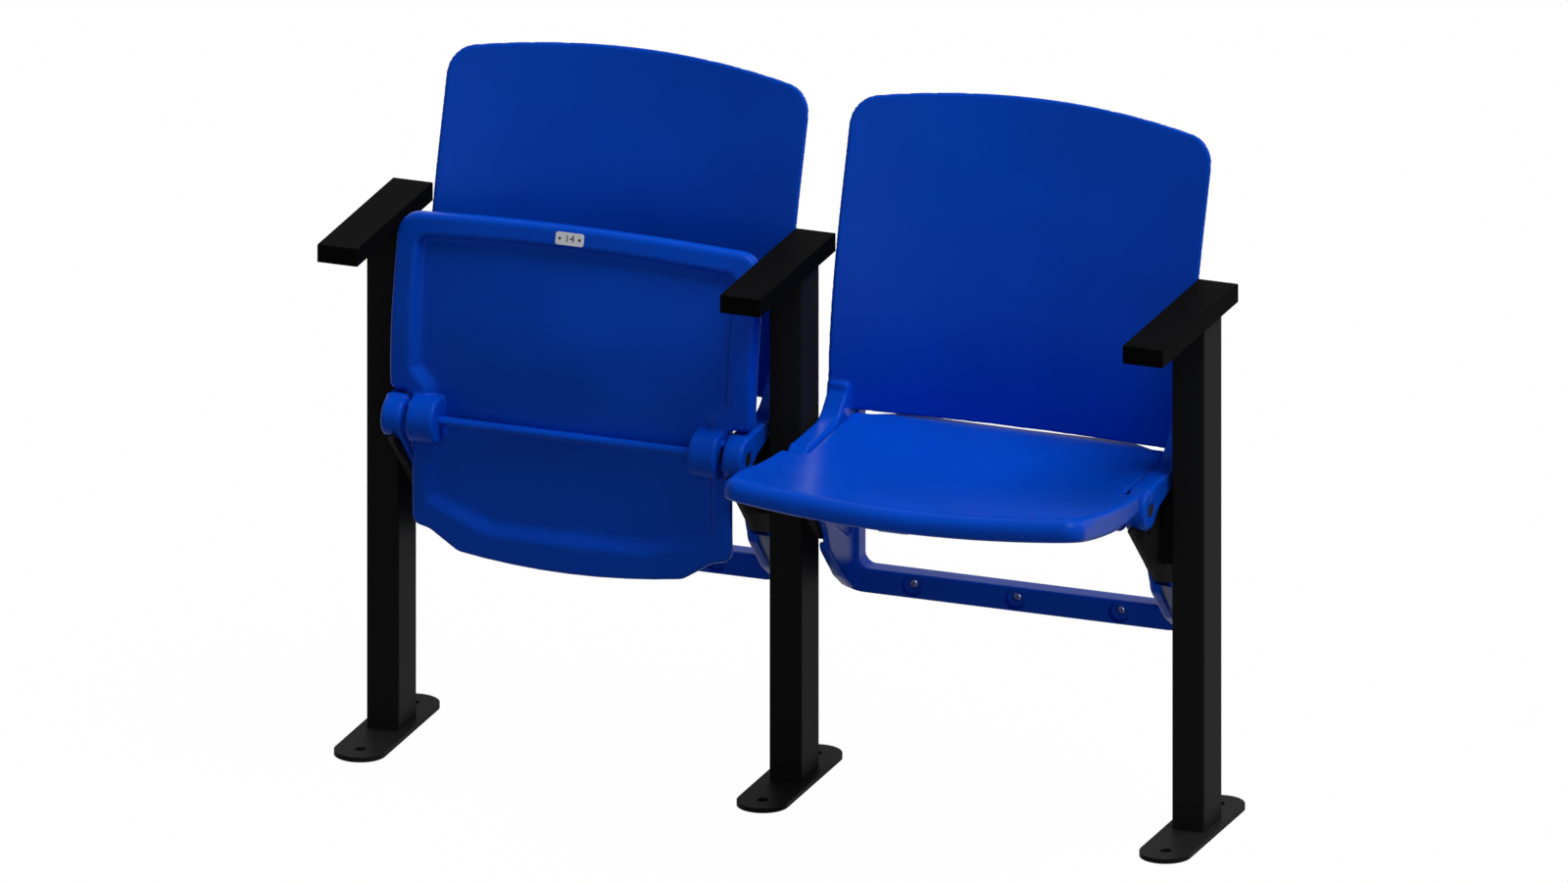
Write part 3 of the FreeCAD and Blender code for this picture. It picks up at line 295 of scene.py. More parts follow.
def panDistance(x, y, z):
    p = pan
    x = np.abs(x)
    forward = np.maximum(p["sweepStart"] - y, 0)
    backward = np.maximum(y - p["riseStart"], 0) / (p["rear"] - p["riseStart"])
    dish = p["dish"] * (x / p["halfWidth"]) ** 2
    top = p["level"] + forward ** 2 / (2 * p["sweepRadius"]) + p["rise"] * backward ** 2 + dish
    deeper = smoothStep(-y, -p["depthFrom"], -p["depthTo"])
    depth = p["rearDepth"] + (p["frontDepth"] - p["rearDepth"]) * deeper
    slope = np.sqrt(1 + (forward / p["sweepRadius"]) ** 2 + (2 * dish / np.maximum(x, 1)) ** 2)
    aboveTop = (z - top) / slope
    belowRim = (top - depth - z) / slope
    edge = p["sideEdge"] + (p["lipEdge"] - p["sideEdge"]) * smoothStep(-y, p["lipFrom"], p["lipTo"])
    edge = edge + (p["rearEdge"] - p["sideEdge"]) * smoothStep(y, p["rearEdgeFrom"], p["rearEdgeTo"])
    body = meet(meet(outline(panLine, x, y), aboveTop, edge), belowRim, p["underEdge"])
    lift = -belowRim
    easier = smoothStep(y, p["wallFrom"], p["wallTo"])
    across = p["steepWall"] + (p["easyWall"] - p["steepWall"]) * easier
    wall = (outline(recessLine, x, y) * p["hollow"] + lift * across) / np.hypot(p["hollow"], across)
    hollow = meet(wall, lift - p["hollow"], p["hollowFoot"])
    body = meet(body, -hollow, p["hollowEdge"])

    radius = np.hypot(y, z)
    barrel = meet(radius - p["barrelRadius"], between(x, p["barrelInner"], p["barrelOuter"]), p["barrelEdge"])
    barrel = np.maximum(barrel, aboveTop + p["barrelUnderTop"])
    body = np.maximum(join(body, barrel, p["barrelFillet"]), aboveTop)
    angle = np.degrees(np.arctan2(z, -y))
    stop = np.maximum(between(radius, p["stopInner"], p["stopOuter"]),
                      between(x, p["barrelOuter"] - p["stopRoot"], p["stopEnd"]))
    stop = np.maximum(stop, (np.abs(angle) - p["stopHalfAngle"]) * radius * math.pi / 180)
    room = np.maximum(radius - p["stopOuter"] - p["roomAroundStop"],
                      between(x, p["barrelOuter"], p["rearHalfWidth"] + p["roomPast"]))
    body = np.maximum(body, -room)
    body = np.minimum(body, stop)
    bush = np.maximum(radius - p["bushBore"] / 2, between(x, p["bushEnd"], p["barrelOuter"] + p["borePast"]))
    rod = np.maximum(radius - p["rodBore"] / 2, between(x, p["barrelInner"] - p["borePast"], p["rodEnd"]))
    return np.maximum(body, -np.minimum(bush, rod))


# Back shell: panel, lower frame and wings in one moulding

shell = {
    "halfWidth": 224.4, "thickness": 5.0, "bottom": 444.5, "sag": 9.5, "top": 815.8,
    "crown": 16.0, "crownSpan": 0.84, "corner": 32.0, "panelEdge": 2.2,
    "frontY": 56.9, "bowBottom": 37.0, "bowTop": 25.0, "railHeight": 6.0, "railInset": 2.0,
    "leanStart": 470.0, "leanMiddle": 600.0, "leanEnd": 700.0, "leanLow": 0.03, "leanHalf": 0.245,
    "leanHigh": 0.33,
    "frameFront": 77.0, "frameDepth": 28.0, "frameBottom": 214.3, "frameCorner": 34.0,
    "crossbar": 29.5, "windowHalf": 194.0, "windowCorner": 13.0, "windowPast": 9.0, "innerEdge": 2.0,
    "wingInner": 199.0, "wingTop": 440.5, "sweepY": 28.0, "sweepRadius": 40.0, "joinsAt": 475.0,
    "lap": 7.0, "lapCorner": 10.0, "bury": 4.0,
    "web": 7.0, "noseRadius": 24.0, "noseEdge": 4.0, "flangeKneeY": -20.0, "flangeKnee": 27.0,
    "flangeBackY": 45.0, "flangeBack": 10.0, "flangeNose": (20.0, 8.0),
    "webKneeY": -15.0, "webKneeZ": 321.0, "webKneeCorner": 25.0,
    "heelFrontY": -3.0, "heelFrontZ": 291.0, "heelFrontCorner": 12.0, "heelMiddleY": 40.0,
    "heelMiddleZ": 245.0, "heelMiddleCorner": 30.0, "heelEdge": 2.5,
    "heelInset": 1.0,
    "footZ": 219.0, "footReach": 6.0, "footRise": 4.0, "footCorner": 8.0,
    "heelTopFront": 301.0, "heelTopBack": 270.0, "ribTop": 575.0, "ribMiddle": 520.0,
    "ribBottom": 385.0, "ribCorner": 20.0, "bracketRoom": 6.3,
    "pocketFrontY": 17.5, "pocketFrontZ": 316.0, "pocketFrontCorner": 4.0, "pocketBackY": 71.0,
    "pocketBackZ": 283.0, "pocketCorner": 6.0, "pocketDepth": 3.0, "pocketFoot": 1.5, "pocketEdge": 1.2,
    "edge": 3.0, "noseFillet": 5.0, "webFillet": 3.0, "wingFillet": 4.0,
    "pinBore": 10.0, "headBore": 15.0, "headDepth": 3.0, "pinPast": 10.0, "pinEdge": 0.6,
    "boltHole": 8.6, "bolts": [(-42.0, 378.0), (-10.0, 338.0)], "boltBefore": 2.0, "boltPast": 1.0,
    "holes": [0.0, 128.5], "hole": 10.0, "holeFrom": 60.0, "holeTo": 120.0, "holeEdge": 0.8,
    "counterbore": 24.0, "counterboreDepth": 8.0,
    "stopInner": 12.5, "stopOuter": 18.0, "stopStart": 194.3, "stopRoot": 1.0, "stopAngles": (201.5, 428.5),
    "grid": 2.8, "gridX": (-227, 227), "gridY": (-96, 182), "gridZ": (211, 822),
}


# front of the panel at its side edge: upright, then leaning back in two easy curves
def sideLine(z):
    low, half, high = shell["leanLow"], shell["leanHalf"], shell["leanHigh"]
    start, middle, end = shell["leanStart"], shell["leanMiddle"], shell["leanEnd"]
    run = np.clip(z - start, 0, middle - start)
    y = shell["frontY"] + low * run + (half - low) / (middle - start) / 2 * run ** 2
    run = np.clip(z - middle, 0, end - middle)
    y = y + half * run + (high - half) / (end - middle) / 2 * run ** 2
    return y + high * np.maximum(z - end, 0)


# how far the front of the panel lies behind its side edge
def panelBow(x, z):
    share = (z - shell["bottom"]) / (shell["top"] - shell["bottom"])
    depth = shell["bowBottom"] + (shell["bowTop"] - shell["bowBottom"]) * share
    return depth * (1 - (x / shell["halfWidth"]) ** 2)


def shellOutlines():
    s = shell
    crownLow = s["top"] - s["crown"]
    crestPlaces = [s["halfWidth"] * (1 - step / 6) * s["crownSpan"] for step in range(0, 13)]
    crest = [(x, s["top"] - s["crown"] * (x / s["halfWidth"]) ** 2, 0) for x in crestPlaces]
    hem = [(x, s["bottom"] - s["sag"] * (1 - (x / s["halfWidth"]) ** 2), 0)
           for x in np.linspace(-s["halfWidth"], s["halfWidth"], 15)]
    panel = roundedLine([(s["halfWidth"], crownLow, s["corner"])]
                        + crest + [(-s["halfWidth"], crownLow, s["corner"])] + hem)
    width, low, high = s["halfWidth"], s["frameBottom"], s["bottom"] + s["railHeight"]
    lowerFrame = roundedLine([(-width, low, s["frameCorner"]), (width, low, s["frameCorner"]),
                              (width, high, 0), (-width, high, 0)])
    sill, half, corner = low + s["crossbar"], s["windowHalf"], s["windowCorner"]
    windowTop = high + s["windowPast"]  # the window runs out past the frame, and the rail closes it
    window = roundedLine([(-half, sill, corner), (half, sill, corner),
                          (half, windowTop, 0), (-half, windowTop, 0)])
    return panel, lowerFrame, window


def wingOutlines():
    s = shell
    y, z, radius = hingeLine["y"], hingeLine["z"], s["noseRadius"]
    front, back = s["frameFront"], s["frameFront"] + s["frameDepth"]
    top, joins, skin = s["wingTop"], s["joinsAt"], s["thickness"]
    panelY = float(sideLine(joins))
    root, foot, bury = front + s["bury"], s["footZ"], s["bury"]
    lowerEdge = [(s["heelFrontY"], s["heelFrontZ"], s["heelFrontCorner"]),
                 (s["heelMiddleY"], s["heelMiddleZ"], s["heelMiddleCorner"]),
                 (front - s["footReach"], foot + s["footRise"], s["footCorner"]), (root, foot, 0)]
    tangent = radius * math.sqrt(0.5)
    web = roundedLine([(y - tangent, z - tangent, 0), (s["webKneeY"], s["webKneeZ"], s["webKneeCorner"])]
                      + lowerEdge + [(root, top - bury, 0), (y, top - bury, 0)])
    heel = roundedLine([(s["heelFrontY"] - s["heelInset"], s["heelTopFront"], 0)] + lowerEdge
                       + [(root, s["heelTopBack"], 0)])
    flange = roundedLine([
        (y, top, 0), (s["sweepY"], top, s["sweepRadius"]), (panelY, joins - s["lap"], s["lapCorner"]),
        (panelY, joins, 0), (panelY + skin, joins, 0), (root, top, 0), (root, top - s["flangeBack"], 0),
        (s["flangeBackY"], top - s["flangeBack"], 0), (s["flangeKneeY"], top - s["flangeKnee"], 0),
        (y + s["flangeNose"][0], z - s["flangeNose"][1], 0), (y, z, 0)])
    ribFront = [(float(sideLine(level) + panelBow(s["wingInner"], level)) + skin / 2, level, 0)
                for level in (s["ribTop"], s["ribMiddle"], joins, top)]
    rib = roundedLine(ribFront + [(root, s["ribBottom"], 0), (back, s["ribBottom"], 0),
                                  (back, top - bury, s["ribCorner"]),
                                  (ribFront[0][0] + skin, s["ribTop"], 0)])
    pocketFront, pocketBack, roof = s["pocketFrontY"], s["pocketBackY"], top - s["flangeKnee"]
    corner = s["pocketCorner"]
    pocket = roundedLine([(pocketFront, s["pocketFrontZ"], s["pocketFrontCorner"]),
                          (pocketBack, s["pocketBackZ"], corner), (pocketBack, roof, corner),
                          (pocketFront, roof, corner)])
    return web, heel, flange, rib, pocket


panelLine, frameLine, windowLine = shellOutlines()
webLine, heelLine, flangeLine, ribLine, pocketLine = wingOutlines()


def shellDistance(x, y, z):
    s = shell
    x = np.abs(x)
    front = sideLine(z) + panelBow(x, z)
    tilt = (sideLine(z + 1) - sideLine(z - 1)) / 2
    across = (panelBow(x + 1, z) - panelBow(x - 1, z)) / 2
    slope = np.sqrt(1 + tilt ** 2 + across ** 2)
    sheet = between(y - front, 0, s["thickness"]) / slope
    panel = meet(outline(panelLine, x, z), sheet, s["panelEdge"])

    depth = between(y, s["frameFront"], s["frameFront"] + s["frameDepth"])
    small, inset = s["innerEdge"], s["railInset"]
    ring = meet(outline(frameLine, x, z), -outline(windowLine, x, z), small)
    lower = meet(ring, depth, s["edge"])
    rail = meet(between(z, s["bottom"], s["bottom"] + s["railHeight"]),
                np.maximum(front + inset - y, y - s["frameFront"] - s["frameDepth"]), small)
    rail = np.maximum(rail, x - s["halfWidth"] + inset)

    inner, outer = s["wingInner"], s["halfWidth"]
    radius = np.hypot(y - hingeLine["y"], z - hingeLine["z"])
    nose = meet(radius - s["noseRadius"], between(x, inner, outer), s["noseEdge"])
    web = meet(outline(webLine, y, z), between(x, inner, inner + s["web"]), small)
    heelWidth = between(x, inner + s["heelInset"], inner + s["web"] + s["bracketRoom"])
    heel = meet(outline(heelLine, y, z), heelWidth, s["heelEdge"])
    flange = meet(outline(flangeLine, y, z), between(x, inner, outer), s["edge"])
    rib = meet(outline(ribLine, y, z), between(x, inner, outer), small)
    wing = join(join(nose, flange, s["noseFillet"]), join(web, heel, small), s["webFillet"])
    wing = join(wing, rib, s["wingFillet"])
    body = join(join(panel, join(lower, rail, small), small), wing, s["wingFillet"])

    fromPin = np.maximum(radius - s["pinBore"] / 2, inner - s["pinPast"] - x)
    head = np.maximum(radius - s["headBore"] / 2, outer - s["headDepth"] - x)
    body = meet(body, -np.minimum(fromPin, head), s["pinEdge"])
    throughWeb = between(x, inner - s["boltBefore"], inner + s["web"] + s["boltPast"])
    for boltY, boltZ in s["bolts"]:
        reach = np.hypot(y - boltY, z - boltZ)
        body = np.maximum(body, -np.maximum(reach - s["boltHole"] / 2, throughWeb))
    pocket = meet(outline(pocketLine, y, z), x - inner - s["pocketDepth"], s["pocketFoot"])
    body = meet(body, -pocket, s["pocketEdge"])
    start, end = s["stopAngles"]  # the fixed stop fills this turn, the moving one swings in the rest
    angle = np.degrees(np.arctan2(z - hingeLine["z"], y - hingeLine["y"]))
    gap = (start + end) / 2 - 180
    away = np.abs((angle - gap + 180) % 360 - 180)
    stop = np.maximum(between(radius, s["stopInner"], s["stopOuter"]),
                      between(x, s["stopStart"], inner + s["stopRoot"]))
    stop = np.maximum(stop, ((360 - end + start) / 2 - away) * radius * math.pi / 180)
    body = np.minimum(body, stop)
    for holeX in s["holes"]:
        reach = np.hypot(x - holeX, z - s["frameBottom"] - s["crossbar"] / 2)
        bore = np.maximum(reach - s["hole"] / 2, between(y, s["holeFrom"], s["holeTo"]))
        seat = np.maximum(reach - s["counterbore"] / 2,
                          between(y, s["holeFrom"], s["frameFront"] + s["counterboreDepth"]))
        body = meet(body, -np.minimum(bore, seat), s["holeEdge"])
    return body


def gridOf(sizes):
    return [steps(low, high, sizes["grid"]) for low, high in (sizes["gridX"], sizes["gridY"], sizes["gridZ"])]


panMesh = skinMesh("panSkin", panDistance, gridOf(pan))
print("scene: seat pan skin,", len(panMesh.polygons), "quads")
shellMesh = skinMesh("shellSkin", shellDistance, gridOf(shell))
print("scene: back shell skin,", len(shellMesh.polygons), "quads")


def placedCopy(name, mesh, matrix):
    copy = mesh.copy()
    copy.name = name
    copy.transform(matrix)
    return addObject(name, copy)


def panMatrix(side):
    turn = Matrix.Rotation(math.radians(-90), 4, "X") if side == "left" else Matrix.Identity(4)
    return Matrix.Translation((seatCentre[side] * mm, hingeLine["y"] * mm, hingeLine["z"] * mm)) @ turn


# Materials

# what each surface is made of: sheen is the share of the usual mirror reflection
looks = {
    "blue": {"dark": "#0147C4", "light": "#014CCF", "rough": 0.3, "sheen": 0.12,
             "drift": 9.0, "grain": 1.1, "relief": 0.2, "strength": 0.1},
    "coat": {"colour": "#1E1E1E", "rough": 0.5, "sheen": 0.03},
    "armrest": {"colour": "#0D0D0D", "rough": 0.6, "sheen": 0.01},
    "bush": {"colour": "#202020", "rough": 0.45, "sheen": 0.2},
    "plug": {"colour": "#7F9AD0", "rough": 0.5, "sheen": 0.2},
    "steel": {"colour": "#2E2F31", "rough": 0.4},
    # pale colour of the painted highlight on the pivot pin ends
    "paintedHighlight": {"colour": "#C9CCC4", "rough": 0.35},
    "plate": {"colour": "#E4E7EE", "rough": 0.5, "sheen": 0.3},
    "print": {"colour": "#20242E", "rough": 0.6, "sheen": 0.1},
}


def newMaterial(name, look):
    material = bpy.data.materials.new(name)
    material.use_nodes = True
    tree = material.node_tree
    tree.nodes.clear()
    shader = addNode(tree, "ShaderNodeBsdfPrincipled")
    addNode(tree, "ShaderNodeOutputMaterial", {"Surface": shader.outputs[0]})
    shader.inputs["Roughness"].default_value = look["rough"]
    shader.inputs["Specular IOR Level"].default_value = 0.5 * look.get("sheen", 1.0)
    if "colour" in look:
        shader.inputs["Base Color"].default_value = linear(look["colour"])
    place = addNode(tree, "ShaderNodeTexCoord")
    return material, tree, shader, place.outputs["Object"]


# fine relief of a given grain in mm, raised by a small height in mm
def addGrain(tree, shader, place, grain, height, strength):
    noise = addNode(tree, "ShaderNodeTexNoise", {"Vector": place, "Scale": 1 / (grain * mm), "Detail": 2.0})
    bump = addNode(tree, "ShaderNodeBump", {"Height": noise.outputs["Fac"], "Strength": strength,
                                            "Distance": height * mm})
    tree.links.new(bump.outputs["Normal"], shader.inputs["Normal"])
    return noise


# lets a noise move the roughness up and down by a small amount
def varyRoughness(tree, shader, noise, rough, amount):
    spread = addNode(tree, "ShaderNodeMapRange", {"Value": noise.outputs["Fac"], "To Min": rough - amount,
                                                  "To Max": rough + amount})
    tree.links.new(spread.outputs["Result"], shader.inputs["Roughness"])


def mouldedBlue(look):
    # blue polypropylene from a satin steel mould: even colour that drifts a little, a very fine grain
    material, tree, shader, place = newMaterial("mouldedBluePolypropylene", look)
    drift = addNode(tree, "ShaderNodeTexNoise", {"Vector": place, "Scale": look["drift"], "Detail": 3.0})
    shade = addNode(tree, "ShaderNodeValToRGB", {"Fac": drift.outputs["Fac"]})
    stops = ((0.3, look["dark"]), (0.7, look["light"]))
    for element, (position, colour) in zip(shade.color_ramp.elements, stops):
        element.position = position
        element.color = linear(colour)
    tree.links.new(shade.outputs["Color"], shader.inputs["Base Color"])
    addGrain(tree, shader, place, look["grain"], look["relief"], look["strength"])
    return material


def powderCoat(name, look, grain=2.4):
    # baked black coat or grained plastic: matt, with a faint orange peel that breaks up the sheen
    material, tree, shader, place = newMaterial(name, look)
    peel = addGrain(tree, shader, place, grain, 0.4, 0.2)
    varyRoughness(tree, shader, peel, look["rough"], 0.06)
    return material


def workedSteel(name, look, grain=1.6):
    # small steel parts: turning marks that blur the reflections
    material, tree, shader, place = newMaterial(name, look)
    marks = addNode(tree, "ShaderNodeTexNoise", {"Vector": place, "Scale": 1 / (grain * mm), "Detail": 3.0})
    varyRoughness(tree, shader, marks, look["rough"], 0.08)
    shader.inputs["Metallic"].default_value = 1.0
    return material


def pinSteelWithPaintedHighlight(dark, paintedHighlight, centre=2.4):
    # blackened pin with a painted highlight: a pale dot within that radius of the hinge line, in mm, stands
    # for the light caught on the pin's end
    material, tree, shader, place = newMaterial("blackenedPinWithPaintedHighlight", dark)
    away = addNode(tree, "ShaderNodeVectorMath", {0: place, 1: (0, hingeLine["y"] * mm, hingeLine["z"] * mm)},
                   operation="SUBTRACT")
    across = addNode(tree, "ShaderNodeVectorMath", {0: away.outputs[0], 1: (0, 1, 1)}, operation="MULTIPLY")
    reach = addNode(tree, "ShaderNodeVectorMath", {0: across.outputs[0]}, operation="LENGTH")
    # the pale dot close to the hinge line is a painted highlight
    insidePaintedHighlight = addNode(tree, "ShaderNodeMath", {0: reach.outputs["Value"], 1: centre * mm}, operation="LESS_THAN")
    mix = addNode(tree, "ShaderNodeMix", {"Factor": insidePaintedHighlight.outputs[0]}, data_type="RGBA")
    mix.inputs[6].default_value = linear(dark["colour"])
    mix.inputs[7].default_value = linear(paintedHighlight["colour"])
    tree.links.new(mix.outputs[2], shader.inputs["Base Color"])
    shader.inputs["Metallic"].default_value = 0.6
    return material


bluePlastic = mouldedBlue(looks["blue"])
blackCoat = powderCoat("blackPowderCoat", looks["coat"])
armPlastic = powderCoat("blackMouldedArmrest", looks["armrest"], 1.8)
darkSteel = workedSteel("blackenedSteel", looks["steel"])
# pivot pins: blackened steel with a painted highlight at their centre
pinMetalWithPaintedHighlight = pinSteelWithPaintedHighlight(looks["steel"], looks["paintedHighlight"])
plateFace = powderCoat("whitePrintedAluminium", looks["plate"], 1.2)
bushPlastic = powderCoat("blackBearingPlastic", looks["bush"])
palePlug = powderCoat("paleBluePlug", looks["plug"])
blackPrint = powderCoat("blackScreenPrint", looks["print"])

nodeMaterials = {"base_plate": blackCoat, "post": blackCoat, "arm_strip": blackCoat,
                 "armrest_screws": darkSteel, "armrest": armPlastic,
                 "bracket_bolts": darkSteel, "bracket": blackCoat,
                 "pivot_pins": pinMetalWithPaintedHighlight, "pivot_bushes": bushPlastic, "tie_rod": bluePlastic,
                 "number_plate": plateFace, "plate_rivets": darkSteel, "vent_plugs": palePlug,
                 "back_shell": bluePlastic, "seat_pan": bluePlastic}
for nodeName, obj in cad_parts.items():
    for key, material in nodeMaterials.items():
        if key in nodeName:
            obj.data.materials.clear()
            obj.data.materials.append(material)
            break

for side in seatCentre:
    seatPan = placedCopy(side + "SeatPan", panMesh, panMatrix(side))
    seatPan.data.materials.append(bluePlastic)
    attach(seatPan, side + "_seat")
    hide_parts(side + "_seat_pan")
    backShell = placedCopy(side + "BackShell", shellMesh, Matrix.Translation((seatCentre[side] * mm, 0, 0)))
    backShell.data.materials.append(bluePlastic)
    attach(backShell, "frame")
    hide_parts(side + "_back_shell")
print("scene: shells in place")


# Screws and rivets: one node tree draws them all, a head with a socket on a plain shank

fasteners = {
    "armScrew": {"Head Width": 9.5, "Head Top Width": 8.0, "Head Height": 3.0, "Head Sink": 0.0,
                 "Shank Width": 5.0, "Shank Length": 16.0, "Socket Width": 3.4},
    "bracketBolt": {"Head Width": 8.0, "Head Top Width": 15.6, "Head Height": 4.2, "Head Sink": 4.2,
                    "Shank Width": 8.0, "Shank Length": 13.3, "Socket Width": 5.5},
    "plateRivet": {"Head Width": 3.4, "Head Top Width": 2.2, "Head Height": 0.6, "Head Sink": 0.0,
                   "Shank Width": 2.4, "Shank Length": 6.0, "Socket Width": 0.5},
}
armScrewPlaces = {"level": 628.0, "along": [-120.0, -60.0, 66.0]}
plate = {"x": -5.6, "y": -235.6, "recess": 0.4, "thickness": 1.2, "rivetSpacing": 24.5,
         "numbers": {"left": "14", "right": "15"}, "digitHeight": 8.6, "printDepth": 0.05,
         "digitShare": 0.7, "slopeReach": 5.0}  # digitShare: how tall a digit is in a font of size 1


def fastenerTree():
    tree = bpy.data.node_groups.new("fasteners", "GeometryNodeTree")
    tree.interface.new_socket("Geometry", in_out="INPUT", socket_type="NodeSocketGeometry")
    for name in fasteners["armScrew"]:
        tree.interface.new_socket(name, in_out="INPUT", socket_type="NodeSocketFloat")
    tree.interface.new_socket("Material", in_out="INPUT", socket_type="NodeSocketMaterial")
    tree.interface.new_socket("Geometry", in_out="OUTPUT", socket_type="NodeSocketGeometry")
    given = addNode(tree, "NodeGroupInput").outputs

    def half(socket):
        return addNode(tree, "ShaderNodeMath", {0: socket, 1: 0.5}, operation="MULTIPLY").outputs[0]

    def taper(bottom, top, depth, sides):
        return addNode(tree, "GeometryNodeMeshCone", {"Vertices": sides, "Radius Bottom": bottom,
                                                      "Radius Top": top, "Depth": depth}).outputs["Mesh"]

    def raised(mesh, height):
        lift = addNode(tree, "ShaderNodeCombineXYZ", {"Z": height})
        moved = addNode(tree, "GeometryNodeTransform", {"Geometry": mesh, "Translation": lift.outputs[0]})
        return moved.outputs[0]

    def negative(socket):
        return addNode(tree, "ShaderNodeMath", {0: socket, 1: -1.0}, operation="MULTIPLY").outputs[0]

    head = taper(half(given["Head Width"]), half(given["Head Top Width"]), given["Head Height"], 28)
    socketWidth = half(given["Socket Width"])
    socket = raised(taper(socketWidth, socketWidth, given["Head Height"], 6), half(given["Head Height"]))
    drilled = addNode(tree, "GeometryNodeMeshBoolean", {"Mesh 1": head, "Mesh 2": socket},
                      operation="DIFFERENCE", solver="EXACT")
    head = raised(drilled.outputs["Mesh"], negative(given["Head Sink"]))
    shankWidth = half(given["Shank Width"])
    shank = raised(taper(shankWidth, shankWidth, given["Shank Length"], 20), negative(given["Shank Length"]))
    whole = addNode(tree, "GeometryNodeJoinGeometry")
    for mesh in (head, shank):
        tree.links.new(mesh, whole.inputs[0])
    outwards = addNode(tree, "GeometryNodeInputNamedAttribute", {"Name": "outwards"},
                       data_type="FLOAT_VECTOR")
    turn = addNode(tree, "FunctionNodeAlignRotationToVector", {"Vector": outwards.outputs[0]}, axis="Z")
    placed = addNode(tree, "GeometryNodeInstanceOnPoints",
                     {"Points": given["Geometry"], "Instance": whole.outputs[0], "Rotation": turn.outputs[0]})
    real = addNode(tree, "GeometryNodeRealizeInstances", {"Geometry": placed.outputs[0]})
    coated = addNode(tree, "GeometryNodeSetMaterial",
                     {"Geometry": real.outputs[0], "Material": given["Material"]})
    addNode(tree, "NodeGroupOutput", {"Geometry": coated.outputs[0]})
    return tree


# places are (point, outwards) pairs in metres; the result is one plain mesh
def addFasteners(name, kind, places, material):
    mesh = meshFrom(name + "Points", [point for point, _ in places], [], smooth=False)
    mesh.attributes.new("outwards", "FLOAT_VECTOR", "POINT")
    mesh.attributes["outwards"].data.foreach_set("vector", [v for _, outwards in places for v in outwards])
    obj = addObject(name, mesh)
    modifier = obj.modifiers.new("fasteners", "NODES")
    modifier.node_group = hardwareTree
    inputs = {item.name: item.identifier for item in hardwareTree.interface.items_tree
              if item.in_out == "INPUT"}
    for field, value in fasteners[kind].items():
        modifier[inputs[field]] = value * mm
    modifier[inputs["Material"]] = material
    result = bpy.data.meshes.new_from_object(obj.evaluated_get(bpy.context.evaluated_depsgraph_get()))
    obj.modifiers.clear()
    obj.data = result
    return obj


# the plane of the number plate, flat on the sloping front rim
def plateMatrix(side):
    def under(y):
        forward = max(pan["sweepStart"] - y, 0)
        return pan["level"] + forward ** 2 / (2 * pan["sweepRadius"]) - pan["frontDepth"]
    reach = plate["slopeReach"]
    slope = math.atan((under(plate["y"] + reach) - under(plate["y"] - reach)) / (2 * reach))
    spot = Matrix.Translation((plate["x"] * mm, plate["y"] * mm, under(plate["y"]) * mm))
    face = Matrix.Translation((0, 0, (plate["recess"] - plate["thickness"]) * mm))
    return panMatrix(side) @ spot @ Matrix.Rotation(slope, 4, "X") @ face @ Matrix.Rotation(math.pi, 4, "X")


def addNumber(side):
    text = bpy.data.curves.new(side + "Digits", "FONT")
    text.body = plate["numbers"][side]
    text.align_x = "CENTER"
    text.align_y = "CENTER"
    text.size = plate["digitHeight"] * mm / plate["digitShare"]
    text.extrude = plate["printDepth"] * mm
    holder = addObject(side + "DigitsCurve", text)
    mesh = bpy.data.meshes.new_from_object(holder.evaluated_get(bpy.context.evaluated_depsgraph_get()))
    bpy.data.objects.remove(holder)
    mesh.transform(plateMatrix(side))
    mesh.materials.clear()
    mesh.materials.append(blackPrint)
    return addObject(side + "PlateNumber", mesh)


hardwareTree = fastenerTree()
armScrews = addFasteners("armrestScrews", "armScrew",
                         [((x * mm, y * mm, armScrewPlaces["level"] * mm), (0, 0, -1))
                          for x in postPlaces.values() for y in armScrewPlaces["along"]], darkSteel)
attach(armScrews, "frame")
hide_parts(*["armrest_screws_" + post for post in postPlaces])
bracketBolts = addFasteners("bracketBolts", "bracketBolt",
                            [(((middle + way * shell["wingInner"]) * mm, y * mm, z * mm), (-way, 0, 0))
                             for middle in seatCentre.values() for way in (-1, 1) for y, z in shell["bolts"]],
                            darkSteel)
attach(bracketBolts, "frame")
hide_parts(*[side + "_bracket_bolts" for side in seatCentre])
for side in seatCentre:
    face = plateMatrix(side)
    outwards = (face.to_3x3() @ Vector((0, 0, 1))).normalized()
    reach = plate["rivetSpacing"] / 2 * mm
    rivets = addFasteners(side + "PlateRivets", "plateRivet",
                          [(face @ Vector((way * reach, 0, 0)), outwards) for way in (-1, 1)], darkSteel)
    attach(rivets, side + "_seat")
    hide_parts(side + "_plate_rivets")
    digits = addNumber(side)
    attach(digits, side + "_seat")
print("scene: screws, rivets and numbers in place")


# Floor, light and camera

stage = {"floorHalf": 12.0, "floorDrop": 0.0005, "floorColour": "#7A7A7A", "floorGlow": 0.95,
         "glow": 1.04, "sky": 0.15}


# 1 for rays that show the background: the camera's own, mirrored ones and those through clear material
def seenDirectly(tree):
    path = addNode(tree, "ShaderNodeLightPath")
    mirrored = addNode(tree, "ShaderNodeMath",
                       {0: path.outputs["Is Camera Ray"], 1: path.outputs["Is Glossy Ray"]},
                       operation="MAXIMUM")
    seen = addNode(tree, "ShaderNodeMath", {0: mirrored.outputs[0], 1: path.outputs["Is Transmission Ray"]},
                   operation="MAXIMUM")
    return seen.outputs[0]


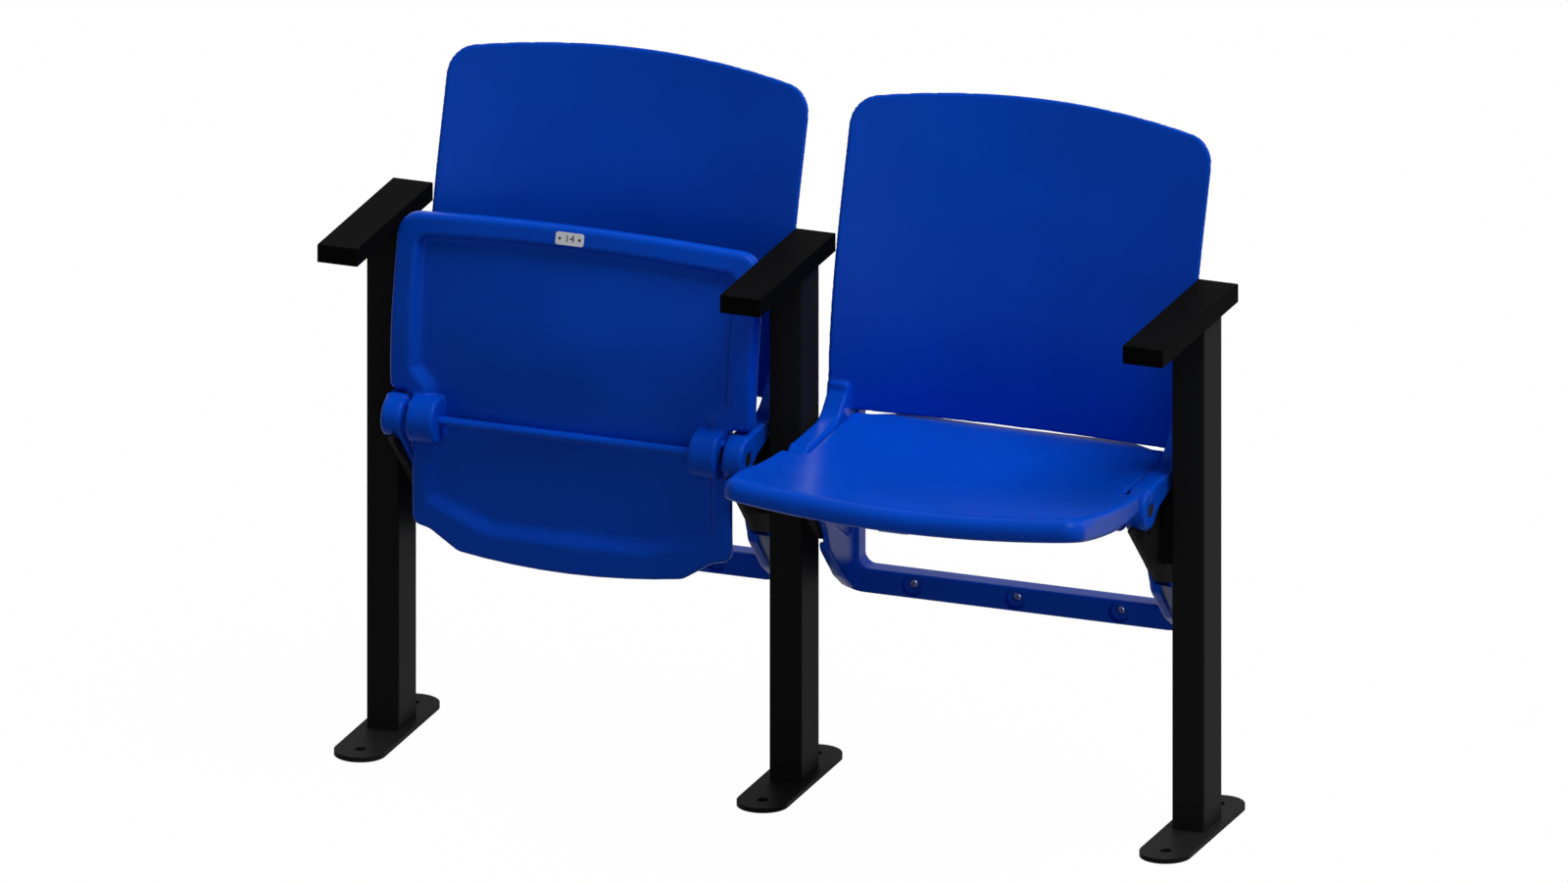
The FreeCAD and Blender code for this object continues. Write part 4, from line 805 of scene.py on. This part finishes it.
def buildStage():
    size = stage["floorHalf"]
    mesh = meshFrom("floor", [(-size, -size, 0), (size, -size, 0), (size, size, 0), (-size, size, 0)],
                    [(0, 1, 2, 3)], smooth=False)
    floor = addObject("floor", mesh)
    floor.location.z = -stage["floorDrop"]
    material = bpy.data.materials.new("paleStudioFloor")
    material.use_nodes = True
    tree = material.node_tree
    tree.nodes.clear()
    matt = addNode(tree, "ShaderNodeBsdfDiffuse", {"Color": linear(stage["floorColour"])})
    white = addNode(tree, "ShaderNodeEmission", {"Color": (1, 1, 1, 1), "Strength": stage["glow"]})
    share = addNode(tree, "ShaderNodeMath", {0: seenDirectly(tree), 1: stage["floorGlow"]},
                    operation="MULTIPLY")
    mix = addNode(tree, "ShaderNodeMixShader", {0: share.outputs[0], 1: matt.outputs[0], 2: white.outputs[0]})
    addNode(tree, "ShaderNodeOutputMaterial", {"Surface": mix.outputs[0]})
    mesh.materials.append(material)

    world = bpy.data.worlds.new("studioSky")
    bpy.context.scene.world = world
    world.use_nodes = True
    tree = world.node_tree
    tree.nodes.clear()
    soft = addNode(tree, "ShaderNodeBackground", {"Color": (1, 1, 1, 1), "Strength": stage["sky"]})
    white = addNode(tree, "ShaderNodeBackground", {"Color": (1, 1, 1, 1), "Strength": stage["glow"]})
    mix = addNode(tree, "ShaderNodeMixShader",
                  {0: seenDirectly(tree), 1: soft.outputs[0], 2: white.outputs[0]})
    addNode(tree, "ShaderNodeOutputWorld", {"Surface": mix.outputs[0]})


# broad soft suns: which way the light comes from, how wide its disc looks in degrees, and its strength
lamps = {
    "key": {"from": (0.42, -0.02, 0.9), "spread": 40, "strength": 2.5},
    "fill": {"from": (0.3, -0.95, 0.05), "spread": 40, "strength": 0.3},
}


def buildLamps():
    for name, lamp in lamps.items():
        light = bpy.data.lights.new(name, "SUN")
        light.angle = math.radians(lamp["spread"])
        light.energy = lamp["strength"]
        obj = addObject(name, light)
        obj.rotation_euler = (-Vector(lamp["from"])).to_track_quat("-Z", "Y").to_euler()


# the photograph's parallel view: turns in degrees, lengths in metres
view = {"turn": 20.705, "rise": 19.471, "width": 1.8212, "centre": (-0.00684, 0.0, 0.4181), "away": 6.0,
        "farthest": 60.0}


def buildCamera():
    camera = bpy.data.cameras.new("camera")
    camera.type = "ORTHO"
    camera.ortho_scale = view["width"]
    camera.clip_end = view["farthest"]
    turn, rise = math.radians(view["turn"]), math.radians(view["rise"])
    towards = Vector((-math.sin(turn) * math.cos(rise), math.cos(turn) * math.cos(rise), -math.sin(rise)))
    obj = addObject("camera", camera)
    obj.location = Vector(view["centre"]) - towards * view["away"]
    obj.rotation_euler = towards.to_track_quat("-Z", "Y").to_euler()
    bpy.context.scene.camera = obj


buildStage()
buildLamps()
buildCamera()
bpy.context.scene.view_settings.view_transform = "Standard"
print("scene: stage ready")
